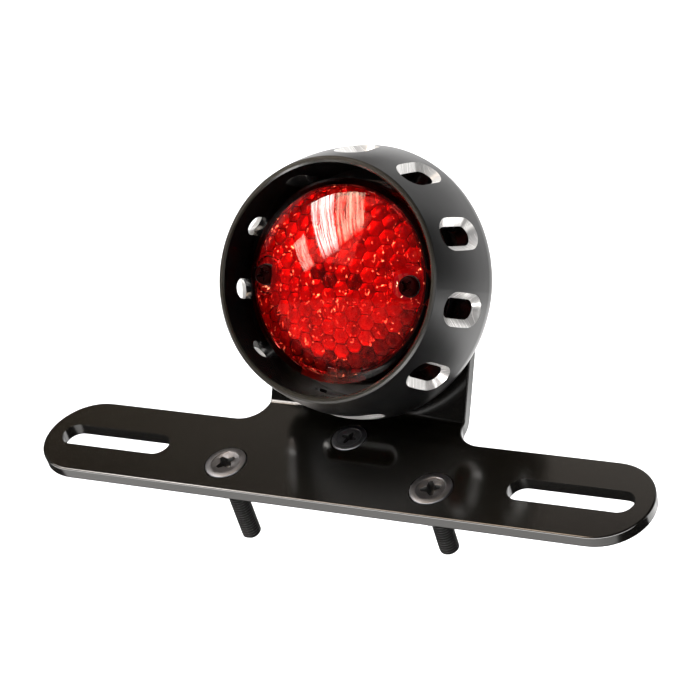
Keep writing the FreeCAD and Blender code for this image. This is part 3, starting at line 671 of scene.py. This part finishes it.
def resistor_body():
    """Speckled dark ceramic."""
    n = Nodes("chip")
    speck = n.noise(2400.0, detail=3.0)
    colour = n.ramp(speck, ((0.35, (0.03, 0.03, 0.033)), (0.8, (0.08, 0.078, 0.075))))
    normal = n.bump(speck, strength=0.2, distance=0.00005)
    return n.finish(n.principled(colour, n.span(speck, 0.4, 0.6), normal=normal))


def blackened_steel(name, low, high, metallic, shine):
    """Black oxide on steel between two tones, paler on its edges where it has shine: rubbed wear and a
    painted highlight.
    """
    n = Nodes(name)
    grain = n.noise(1500.0, detail=4.0)
    broad = n.noise(240.0, detail=3.0)
    colour = n.ramp(broad, ((0.3, low), (0.75, high)))
    edge = n.edges(0.00018, low=0.9, high=0.995)
    # Paler edges, scaled by shine: rubbed wear and a painted highlight.
    wear_and_painted_highlight = n.maths("MULTIPLY", edge, n.span(n.noise(1100.0, detail=3.0), 0.1, 0.9, start=0.35, end=0.7))
    colour = n.mix(n.maths("MULTIPLY", wear_and_painted_highlight, 0.6 * shine), colour, (0.6, 0.6, 0.62))
    roughness = n.span(grain, 0.3, 0.48)
    normal = n.bump(grain, strength=0.15, distance=0.00006)
    shader = n.principled(colour, roughness, metallic, normal, Specular_IOR_Level=shine)
    return n.finish(shader)


def zinc_steel():
    """Zinc plate with the patchy passivated look."""
    n = Nodes("zinc_steel")
    spangle = n.add("ShaderNodeTexVoronoi", feature="F1")
    spangle.inputs["Scale"].default_value = 900.0
    n.link(n.coords(), spangle.inputs["Vector"])
    cloud = n.noise(260.0, detail=4.0)
    tone = n.maths("ADD", n.maths("MULTIPLY", spangle.outputs["Distance"], 0.4), cloud)
    colour = n.ramp(tone, ((0.4, (0.30, 0.31, 0.33)), (0.8, (0.52, 0.52, 0.50))))
    roughness = n.span(cloud, 0.26, 0.46)
    normal = n.bump(cloud, strength=0.12, distance=0.00006)
    shader = n.principled(colour, roughness, metallic=1.0, normal=normal)
    return n.finish(shader)


def plain_ground():
    """Pale matt floor, faintly mottled."""
    n = Nodes("studio_ground")
    mottle = n.noise(6.0, detail=2.0)
    colour = n.ramp(mottle, ((0.3, (0.93, 0.93, 0.93)), (0.7, (0.95, 0.95, 0.95))))
    return n.finish(n.principled(colour, 0.9, Specular_IOR_Level=0.1))


def panel_light(name, colour, strength):
    """Emission of a diffused lamp panel, a little uneven."""
    n = Nodes(name)
    haze = n.noise(9.0, detail=2.0)
    level = n.maths("MULTIPLY", n.span(haze, 0.85, 1.1, start=0.3, end=0.7), strength)
    return n.finish(n.emission(colour, level))


def shaded_panel(name, first, last):
    """Emission that runs from one colour to another across the panel, dimmer at its front."""
    n = Nodes(name)
    place = n.split(n.coords())
    share = n.span(place["X"], 0.0, 1.0, start=-0.35, end=0.35)
    level = n.span(place["Y"], 0.3, 1.0, start=-0.09, end=-0.035)
    return n.finish(n.emission(n.mix(share, first, last), level))


def pane_light(name, colour, strength):
    """Emission of a window pane behind a hanging curtain: bright and dark folds along it."""
    n = Nodes(name)
    along = n.add("ShaderNodeUVMap", uv_map="across").outputs["UV"]
    stretch = n.add("ShaderNodeMapping")
    stretch.inputs["Scale"].default_value = (1.3, 11.0, 1.0)
    n.link(along, stretch.inputs["Vector"])
    fold = n.add("ShaderNodeTexNoise")
    n.feed(1.0, fold.inputs["Scale"])
    n.feed(5.0, fold.inputs["Detail"])
    n.feed(0.65, fold.inputs["Roughness"])
    n.link(stretch.outputs["Vector"], fold.inputs["Vector"])
    across = n.split(along)["X"]
    level = n.span(fold.outputs["Fac"], 0.03, 1.0, start=0.42, end=0.60)
    end = n.span(across, 1.0, 0.1, start=0.85, end=1.0)
    start = n.span(across, 0.6, 1.0, start=0.0, end=0.15)
    level = n.maths("MULTIPLY", n.maths("MULTIPLY", level, end), start)
    return n.finish(n.emission(colour, n.maths("MULTIPLY", level, strength)))


MATERIALS = {
    "black_anodised": anodised_aluminium(),
    "bracket_paint": bracket_paint(),
    "red_lens": red_plastic(),
    "clear_lens": clear_plastic(),
    "seal_rubber": rubber(),
    "black_plastic": moulded_plastic(),
    "bright_plating": plating(),
    "board": board_lacquer(),
    "red_emitter": emitter("red_emitter", (0.5, 0.008, 0.008), (0.85, 0.03, 0.02)),
    "white_emitter": emitter("white_emitter", (0.75, 0.74, 0.6), (0.92, 0.9, 0.8)),
    "chip": resistor_body(),
    "black_steel": blackened_steel("black_steel", *STEEL_TONES, 1.0, 0.5),
    "zinc_steel": zinc_steel(),
}
# Darker copies of the black steel: painted shade on the shanks and recesses; in the wells also a painted
# red reflection.
SHADED_THREAD_STEEL = blackened_steel("black_thread_painted_shade", *THREAD_SHADE_TONES, 0.0, 0.2)
WELL_STEEL_PAINTED = blackened_steel("well_steel_painted_shade_red", *WELL_SHADE_AND_RED_REFLECTION, 0.0, 0.02)
OPTICS = red_optics()


def dress_cad_nodes():
    """Gives each CAD node its finish by slot; the screws in the lens's wells are darker and redder,
    painted shade and a painted reflection of the red lens.
    """
    for name, node in frame["nodes"].items():
        for slot in node.material_slots:
            finish = MATERIALS.get(slot.material.name.split(".")[0])
            if finish is not None:
                slot.material = finish
            if name.startswith("lens_screw_") and slot.material == MATERIALS["black_steel"]:
                slot.material = WELL_STEEL_PAINTED


# ---------------------------------------------------------------- mesh helpers
def even_dome():
    """Weighs the lens's corner normals by face area and angle, so that the dome mirrors evenly."""
    weigh = frame["nodes"]["lens"].modifiers.new("even_normals", "WEIGHTED_NORMAL")
    weigh.mode = "FACE_AREA_WITH_ANGLE"
    weigh.keep_sharp = True


def placed(name, data):
    """A new object of the scene."""
    thing = bpy.data.objects.new(name, data)
    bpy.context.scene.collection.objects.link(thing)
    return thing


def mesh_of(name, shape):
    """A new mesh from a bmesh, which is freed."""
    mesh = bpy.data.meshes.new(name)
    shape.to_mesh(mesh)
    shape.free()
    return mesh


def new_piece(name, mesh, material):
    piece = placed(name, mesh)
    mesh.materials.append(material)
    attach(piece, BODY)
    return piece


def smooth(mesh, angle):
    """Smooth shading, with edges sharp above that angle in degrees."""
    for face in mesh.polygons:
        face.use_smooth = True
    mesh.set_sharp_from_angle(angle=math.radians(angle))


def ring_of(shape, points):
    return [shape.verts.new(point) for point in points]


def skin(shape, pairs):
    """Faces between the two closed rings of vertices of each pair."""
    for near, far in pairs:
        for step in range(len(near)):
            after = (step + 1) % len(near)
            shape.faces.new((near[step], near[after], far[after], far[step]))


def circle_angles(sides):
    return [2 * math.pi * step / sides for step in range(sides)]


def dome_depth(radius):
    """Depth of the lens's outer surface below the rim plane, in mm."""
    return DOME_APEX + DOME_RADIUS - math.sqrt(DOME_RADIUS ** 2 - radius ** 2)


def lamp_point(x, depth, z):
    """A place from the lamp's axis and rim plane, in mm, as a point of the part's frame."""
    return Vector((x * MM, RIM_Y + depth * MM, LAMP_Z + z * MM))


# ---------------------------------------------------------------- lens optics
def cell_centres():
    """Columns of hexagons with flat tops, all over the lens."""
    column_step = CELL_PITCH * math.cos(math.radians(30))
    reach = int(OPTIC_RADIUS / CELL_PITCH) + 2
    centres = []
    for column in range(-reach, reach + 1):
        for row in range(-reach, reach + 1):
            x = column * column_step
            z = (row + 0.5 * (column % 2)) * CELL_PITCH
            if math.hypot(x, z) < OPTIC_RADIUS + 0.5 * CELL_PITCH:
                centres.append((x, z))
    return centres


def hexagon_reach(angle):
    """Distance from a hexagon's centre to its side, in that direction."""
    turn = angle % (math.pi / 3) - math.pi / 6
    return CELL_PITCH / 2 / math.cos(turn)


def kept_on_lens(x, z):
    """Moves a point of the optics off the bosses and inside the lens's rim."""
    clear_radius = BOSS_RADIUS + OPTIC_GAP
    for well in (-WELL_X, WELL_X):
        away = math.hypot(x - well, z)
        if away < clear_radius:
            grow = clear_radius / max(away, 0.01)
            x = well + (x - well) * grow
            z = z * grow
    radius = math.hypot(x, z)
    if radius > OPTIC_RADIUS:
        x *= OPTIC_RADIUS / radius
        z *= OPTIC_RADIUS / radius
    return x, z


def add_cell(shape, layers, x, z, tone, lit):
    """One pillow with a groove round it."""
    rings = []
    for share in (1.0, *CELL_RINGS):
        edge = 1.0 if share == 1.0 else 0.0
        ring = []
        for angle in circle_angles(CELL_SIDES):
            reach = hexagon_reach(angle) * share
            px, pz = kept_on_lens(x + reach * math.cos(angle), z + reach * math.sin(angle))
            ground = dome_depth(math.hypot(px, pz)) + LENS_WALL + OPTIC_GAP
            depth = ground + CELL_BULGE * share ** 2 + CELL_GROOVE * edge
            vertex = shape.verts.new(lamp_point(px, depth, pz))
            vertex[layers["cell_groove"]] = edge
            ring.append(vertex)
        rings.append(ring)
    px, pz = kept_on_lens(x, z)
    top_depth = dome_depth(math.hypot(px, pz)) + LENS_WALL + OPTIC_GAP
    top = shape.verts.new(lamp_point(px, top_depth, pz))
    # Each vertex carries the cell's random tone and its share of painted light.
    for vertex in sum(rings, [top]):
        vertex[layers["cell_tone"]] = tone
        vertex[layers["cell_painted_light"]] = lit
    skin(shape, zip(rings, rings[1:]))
    last = rings[-1]
    for step in range(CELL_SIDES):
        shape.faces.new((last[step], last[(step + 1) % CELL_SIDES], top))


def add_sleeve(shape, layers, x, radius, start, end, lit):
    """A short tube about a line parallel to the lamp's axis."""
    rings = []
    for depth in (start, (start + end) / 2, end):
        ring = []
        for angle in circle_angles(SLEEVE_SIDES):
            point = lamp_point(x + radius * math.cos(angle), depth, radius * math.sin(angle))
            vertex = shape.verts.new(point)
            # The sleeve's tone and its share of painted light.
            vertex[layers["cell_tone"]] = SLEEVE_TONE
            vertex[layers["cell_painted_light"]] = lit
            ring.append(vertex)
        rings.append(ring)
    skin(shape, zip(rings, rings[1:]))


def painted_light_share(x, z, jitter):
    """How much painted light a cell gets: full over the lamp, then fading from upper left to lower
    right; the two dark cells get painted shade.
    """
    if any(math.hypot(x - dark_x, z - dark_z) < DARK_REACH for dark_x, dark_z in DARK_CELLS):
        return DARK_PAINTED_LIGHT
    if math.hypot(x - PAINTED_LIGHT_CENTRE[0], z - PAINTED_LIGHT_CENTRE[1]) + jitter < PAINTED_LIGHT_RADIUS:
        return 1.0
    return RING_PAINTED_LIGHT * (1 - (x - z) / OPTIC_RADIUS / RING_FALL) / 2


def lens_optics():
    """The honeycomb behind the dome, with the sleeves round the two screw bosses and the rim's band."""
    shape = bmesh.new()
    names = ("cell_groove", "cell_tone", "cell_painted_light")
    layers = {name: shape.verts.layers.float.new(name) for name in names}
    chance = random.Random(SEED)
    for x, z in cell_centres():
        tone = chance.random()
        jitter = chance.uniform(-PAINTED_LIGHT_JITTER, PAINTED_LIGHT_JITTER)
        add_cell(shape, layers, x, z, tone, painted_light_share(x, z, jitter))
    bmesh.ops.remove_doubles(shape, verts=shape.verts, dist=0.01 * MM)
    add_sleeve(shape, layers, 0, SKIRT_RADIUS, SKIRT_START, SKIRT_END, SKIRT_PAINTED_LIGHT)
    for x in (-WELL_X, WELL_X):
        add_sleeve(shape, layers, x, BOSS_RADIUS + OPTIC_GAP, SKIRT_START, SLEEVE_END, SLEEVE_PAINTED_LIGHT)
    bmesh.ops.recalc_face_normals(shape, faces=shape.faces)
    mesh = mesh_of("lens_optics", shape)
    smooth(mesh, 60)
    new_piece("lens_optics", mesh, OPTICS)


# ---------------------------------------------------------------- screws
def ring_at(shape, radius, height, sides):
    points = [(radius * math.cos(angle), radius * math.sin(angle)) for angle in circle_angles(sides)]
    return ring_of(shape, [(x, y, height) for x, y in points])


def lathe(profile, sides):
    """A closed turned shape about Z from (radius, height) points; it starts and ends on the axis."""
    shape = bmesh.new()
    rings = []
    for radius, height in profile:
        if radius == 0:
            rings.append(ring_of(shape, [(0, 0, height)]))
        else:
            rings.append(ring_at(shape, radius, height, sides))
    for low, high in zip(rings, rings[1:]):
        for step in range(sides):
            after = (step + 1) % sides
            corners = [low[step % len(low)], low[after % len(low)]]
            corners += [high[after % len(high)], high[step % len(high)]]
            shape.faces.new(tuple(dict.fromkeys(corners)))
    bmesh.ops.recalc_face_normals(shape, faces=shape.faces)
    return shape


def cross_outline(size, span_share, width_share):
    """The cross of a Phillips recess at one level, as (x, y) points."""
    reach = size["cross"] / 2 * span_share
    half = size["cross_width"] / 2 * width_share
    waist = half * CROSS_WAIST
    back, narrow = CROSS_END
    corners = ((reach * back, -half * narrow), (reach, 0), (reach * back, half * narrow), (waist, waist))
    points = []
    for quarter in range(4):
        turn = Matrix.Rotation(quarter * math.pi / 2, 2)
        points += [turn @ Vector(corner) for corner in corners]
    return points


def cross_cutter(size, top):
    """The tapered cross of a Phillips driver, with its point down."""
    shape = bmesh.new()
    depth = size["cross_depth"]
    levels = [(CROSS_LIFT, *CROSS_MOUTH)]
    levels += [(-depth * share, span, width) for share, span, width in CROSS_LEVELS]
    rings = []
    for height, span, width in levels:
        outline = cross_outline(size, span, width)
        rings.append(ring_of(shape, [(x, y, top + height) for x, y in outline]))
    skin(shape, zip(rings[1:], rings))
    point = shape.verts.new((0, 0, top - depth - CROSS_POINT))
    lid = shape.verts.new((0, 0, top + CROSS_LIFT))
    count = len(rings[0])
    for step in range(count):
        after = (step + 1) % count
        shape.faces.new((rings[-1][after], rings[-1][step], point))
        shape.faces.new((rings[0][step], rings[0][after], lid))
    bmesh.ops.recalc_face_normals(shape, faces=shape.faces)
    return shape


def head_profile(size):
    """Countersunk head from its neck to its dish, as (radius, height) points."""
    top = HEAD_LAND - HEAD_SINK
    seat = -HEAD_SINK
    rim = size["head"]
    shank = size["shank"]
    dish = size["dish"]
    cone_end = seat - (rim - shank)
    return (
        (0, cone_end - HEAD_TAIL),
        (shank, cone_end - HEAD_TAIL),
        (shank, cone_end),
        (rim, seat),
        (rim, top - RIM_ROUND),
        (rim - RIM_CHAMFER, top - RIM_CHAMFER),
        (rim - LAND_EDGE, top),
        (dish + DISH_EDGE, top),
        (dish, top - DISH_DEPTH * DISH_BREAK),
        (dish - DISH_SLOPE, top - DISH_DEPTH),
        (0, top - DISH_DEPTH),
    )


def screw_head(size, turn):
    """Countersunk head with a flat rim, a shallow dish and a cross recess, in mm about Z."""
    floor = HEAD_LAND - HEAD_SINK - DISH_DEPTH
    head = placed("head_blank", mesh_of("head_blank", lathe(head_profile(size), HEAD_SIDES)))
    cutter = placed("cross_blank", mesh_of("cross_blank", cross_cutter(size, floor)))
    cutter.rotation_euler.z = -turn
    recess = head.modifiers.new("recess", "BOOLEAN")
    recess.operation = "DIFFERENCE"
    recess.solver = "EXACT"
    recess.object = cutter
    soften = head.modifiers.new("soften", "BEVEL")
    soften.width = SOFT_EDGE
    soften.segments = 2
    soften.limit_method = "ANGLE"
    soften.angle_limit = math.radians(40)
    bpy.context.view_layer.update()
    graph = bpy.context.evaluated_depsgraph_get()
    mesh = bpy.data.meshes.new_from_object(head.evaluated_get(graph))
    bpy.data.objects.remove(head)
    bpy.data.objects.remove(cutter)
    # The deep faces of the cross recess take the darker steel: painted shade.
    for face in mesh.polygons:
        sunk = face.center.z < floor - RECESS_SHADE
        if sunk and math.hypot(face.center.x, face.center.y) < size["cross"] / 2:
            face.material_index = 1
    return mesh


def thread_radius(size, phase):
    """Radius of a rolled thread across one pitch: narrow crest, rounded root."""
    wave = abs(phase - 0.5) * 2
    share = min(max((wave - CREST_SHARE) / FLANK_SHARE, 0.0), 1.0)
    ease = share * share * (3 - 2 * share)
    return size["thread"] + (size["root"] - size["thread"]) * ease


def shank_radius(size, tip, height, turn_share):
    """Radius at a height and a share of the way round: core, thread, then the chamfered tip."""
    shank = size["shank"]
    stack = size["stack"]
    if height > -stack:
        return shank
    phase = (height / size["pitch"] - turn_share) % 1.0
    run_in = min((-stack - height) / size["pitch"], 1.0)
    radius = shank + (thread_radius(size, phase) - shank) * run_in
    return min(radius, size["thread"] - TIP_CHAMFER + height + tip)


def screw_shank(size, length):
    """Plain core through the plate and the nut, then the rolled thread with its chamfered tip."""
    stack = size["stack"]
    tip = length - TIP_SHY
    step = size["pitch"] / THREAD_STEPS
    neck = -HEAD_SINK - (size["head"] - size["shank"])
    heights = [neck - HEAD_TAIL / 2, -stack + NUT_END]
    heights += [-stack - step * index for index in range(int((tip - stack) / step))]
    heights.append(-tip)
    shape = bmesh.new()
    rings = []
    for height in heights:
        points = []
        for side, angle in enumerate(circle_angles(SHANK_SIDES)):
            radius = shank_radius(size, tip, height, side / SHANK_SIDES)
            points.append((radius * math.cos(angle), radius * math.sin(angle), height))
        rings.append(ring_of(shape, points))
    skin(shape, zip(rings[1:], rings))
    shape.faces.new(rings[-1])
    shape.faces.new(list(reversed(rings[0])))
    bmesh.ops.recalc_face_normals(shape, faces=shape.faces)
    return shape


def flange_screw(node, size, place, length, turn):
    """A black countersunk screw with a real thread, in place of the CAD node."""
    shape = screw_shank(size, length)
    # The shank takes the darker steel: painted shade.
    for face in shape.faces:
        face.material_index = 1
    head = screw_head(size, turn)
    shape.from_mesh(head)
    bpy.data.meshes.remove(head)
    bmesh.ops.scale(shape, vec=(MM, MM, MM), verts=shape.verts)
    bmesh.ops.transform(shape, matrix=place, verts=shape.verts)
    mesh = mesh_of(node + "_detail", shape)
    smooth(mesh, 35)
    piece = new_piece(node + "_detail", mesh, MATERIALS["black_steel"])
    mesh.materials.append(SHADED_THREAD_STEEL)
    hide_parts(node)


def screw_place(face):
    """Frame of a flange screw: Z up out of the plate, origin on the plate's upper face."""
    return Matrix.Translation(face) @ Matrix.Rotation(FLANGE_TILT, 4, "X")


def stud_face(side):
    """Where a long screw's axis meets the plate's upper face, and the screw's length in mm."""
    stud = MOUNTS["stud_" + side]
    down = Vector(stud["axis"]).normalized()
    free = stud["dims"]["length_mm"]
    stack = LONG_SCREWS["stack"]
    face = Vector(stud["pos_m"]) - down * (stack + free / 2) * MM
    return face, stack + free + TIP_CHAMFER


def mounting_screws():
    left, left_length = stud_face("left")
    right, right_length = stud_face("right")
    uphill = Vector((0, math.cos(FLANGE_TILT), math.sin(FLANGE_TILT)))
    centre = (left + right) / 2 + uphill * CENTRE_RISE * MM
    flange_screw("mounting_screw_left", LONG_SCREWS, screw_place(left), left_length, LEFT_TURN)
    flange_screw("mounting_screw_right", LONG_SCREWS, screw_place(right), right_length, RIGHT_TURN)
    flange_screw("centre_screw", CENTRE_SCREW, screw_place(centre), CENTRE_LENGTH, CENTRE_TURN)


# ---------------------------------------------------------------- studio
def only_mirrored(thing):
    """Hides a lamp panel from the camera, and from diffuse and shadow rays."""
    thing.visible_camera = False
    thing.visible_diffuse = False
    thing.visible_shadow = False


def facing(centre, target, front):
    """Turn that points an object's front axis from the centre at the target."""
    return (Vector(target) - Vector(centre)).to_track_quat(front, "Y")


def card(name, centre, target, width, height, material):
    """A flat lamp panel that faces a point."""
    shape = bmesh.new()
    corners = ((-0.5, -0.5), (0.5, -0.5), (0.5, 0.5), (-0.5, 0.5))
    shape.faces.new(ring_of(shape, [(x * width, y * height, 0) for x, y in corners]))
    mesh = mesh_of(name, shape)
    mesh.materials.append(material)
    panel = placed(name, mesh)
    turn = facing(centre, target, "Z").to_matrix().to_4x4()
    panel.matrix_world = Matrix.Translation(centre) @ turn
    only_mirrored(panel)


def softbox(name, centre, target, width, height, power):
    """A soft lamp that lights the part but isn't mirrored in it."""
    data = bpy.data.lights.new(name, "AREA")
    data.shape = "RECTANGLE"
    data.size = width
    data.size_y = height
    data.energy = power
    lamp = placed(name, data)
    lamp.location = centre
    lamp.rotation_euler = facing(centre, target, "-Z").to_euler()
    lamp.visible_glossy = False


def seamless_ground():
    """Floor that curves up into a wall far behind the part."""
    profile = [(SWEEP_FRONT, SWEEP_Z), (SWEEP_BACK - SWEEP_RADIUS, SWEEP_Z)]
    for step in range(1, SWEEP_STEPS + 1):
        angle = math.pi / 2 * step / SWEEP_STEPS
        y = SWEEP_BACK - SWEEP_RADIUS + SWEEP_RADIUS * math.sin(angle)
        z = SWEEP_Z + SWEEP_RADIUS * (1 - math.cos(angle))
        profile.append((y, z))
    profile.append((SWEEP_BACK, SWEEP_TOP))
    shape = bmesh.new()
    left = ring_of(shape, [(-SWEEP_HALF, y, z) for y, z in profile])
    right = ring_of(shape, [(SWEEP_HALF, y, z) for y, z in profile])
    for index in range(len(profile) - 1):
        shape.faces.new((left[index], right[index], right[index + 1], left[index + 1]))
    mesh = mesh_of("ground", shape)
    smooth(mesh, 60)
    mesh.materials.append(plain_ground())
    ground = placed("ground", mesh)
    ground.matrix_world = Matrix.Rotation(CAMERA_AZIMUTH, 4, "Z")
    ground.visible_glossy = False


def studio_world():
    """White to the camera, and dim to every other ray."""
    world = bpy.data.worlds.new("studio")
    world.use_nodes = True
    tree = world.node_tree
    tree.nodes.clear()
    out = tree.nodes.new("ShaderNodeOutputWorld")
    seen = tree.nodes.new("ShaderNodeBackground")
    lit = tree.nodes.new("ShaderNodeBackground")
    for glow, strength in ((seen, 1.0), (lit, WORLD_GLOW)):
        glow.inputs["Color"].default_value = (1, 1, 1, 1)
        glow.inputs["Strength"].default_value = strength
    path = tree.nodes.new("ShaderNodeLightPath")
    both = tree.nodes.new("ShaderNodeMixShader")
    tree.links.new(path.outputs["Is Camera Ray"], both.inputs[0])
    tree.links.new(lit.outputs[0], both.inputs[1])
    tree.links.new(seen.outputs[0], both.inputs[2])
    tree.links.new(both.outputs[0], out.inputs["Surface"])
    bpy.context.scene.world = world


def window_panes():
    """Bright panes with hanging folds, seen in reflections and through clear plastic."""
    lens = Vector((0, RIM_Y, LAMP_Z))
    for index, (corners, glow, tint) in enumerate(zip(PANES, PANE_GLOW, PANE_TINTS)):
        name = f"window_{index}"
        shape = bmesh.new()
        across = shape.loops.layers.uv.new("across")
        points = [around(azimuth, elevation, PANE_DISTANCE, lens) for azimuth, elevation in corners]
        face = shape.faces.new(ring_of(shape, points))
        for loop, place in zip(face.loops, ((0, 0), (0, 1), (1, 1), (1, 0))):
            loop[across].uv = place
        bmesh.ops.subdivide_edges(shape, edges=shape.edges, cuts=PANE_CUTS, use_grid_fill=True)
        mesh = mesh_of(name, shape)
        mesh.materials.append(pane_light(name, tint, glow))
        pane = placed(name, mesh)
        only_mirrored(pane)


def studio_lights():
    """Soft lamps that light the part, and the cards and panes that it mirrors."""
    for lamp in SOFTBOXES:
        softbox(*lamp)
    for name, place in CARDS.items():
        if name in CARD_GLOW:
            glow = panel_light(name, *CARD_GLOW[name])
        else:
            glow = shaded_panel(name, *CEILING_SHADES)
        card(name, *place, glow)
    window_panes()


def camera():
    """Looks along -back at the lamp's rim, shifted by the camera's side and lift."""
    right = Vector((math.cos(CAMERA_AZIMUTH), math.sin(CAMERA_AZIMUTH), 0))
    back = Vector(
        (
            math.sin(CAMERA_AZIMUTH) * math.cos(CAMERA_ELEVATION),
            -math.cos(CAMERA_AZIMUTH) * math.cos(CAMERA_ELEVATION),
            math.sin(CAMERA_ELEVATION),
        )
    )
    up = back.cross(right)
    side = right * math.cos(CAMERA_ROLL) - up * math.sin(CAMERA_ROLL)
    lift = right * math.sin(CAMERA_ROLL) + up * math.cos(CAMERA_ROLL)
    data = bpy.data.cameras.new("camera")
    data.lens = CAMERA_LENS
    data.clip_start = 0.01
    data.clip_end = 20
    eye = placed("camera", data)
    spot = Vector((0, RIM_Y, LAMP_Z)) + side * CAMERA_SIDE + lift * CAMERA_LIFT
    spot += back * CAMERA_DISTANCE
    axes = Matrix((side, lift, back)).transposed().to_4x4()
    eye.matrix_world = Matrix.Translation(spot) @ axes
    bpy.context.scene.camera = eye


def main():
    camera()
    dress_cad_nodes()
    even_dome()
    lens_optics()
    mounting_screws()
    seamless_ground()
    studio_world()
    studio_lights()
    bpy.context.scene.view_settings.view_transform = "Standard"


main()
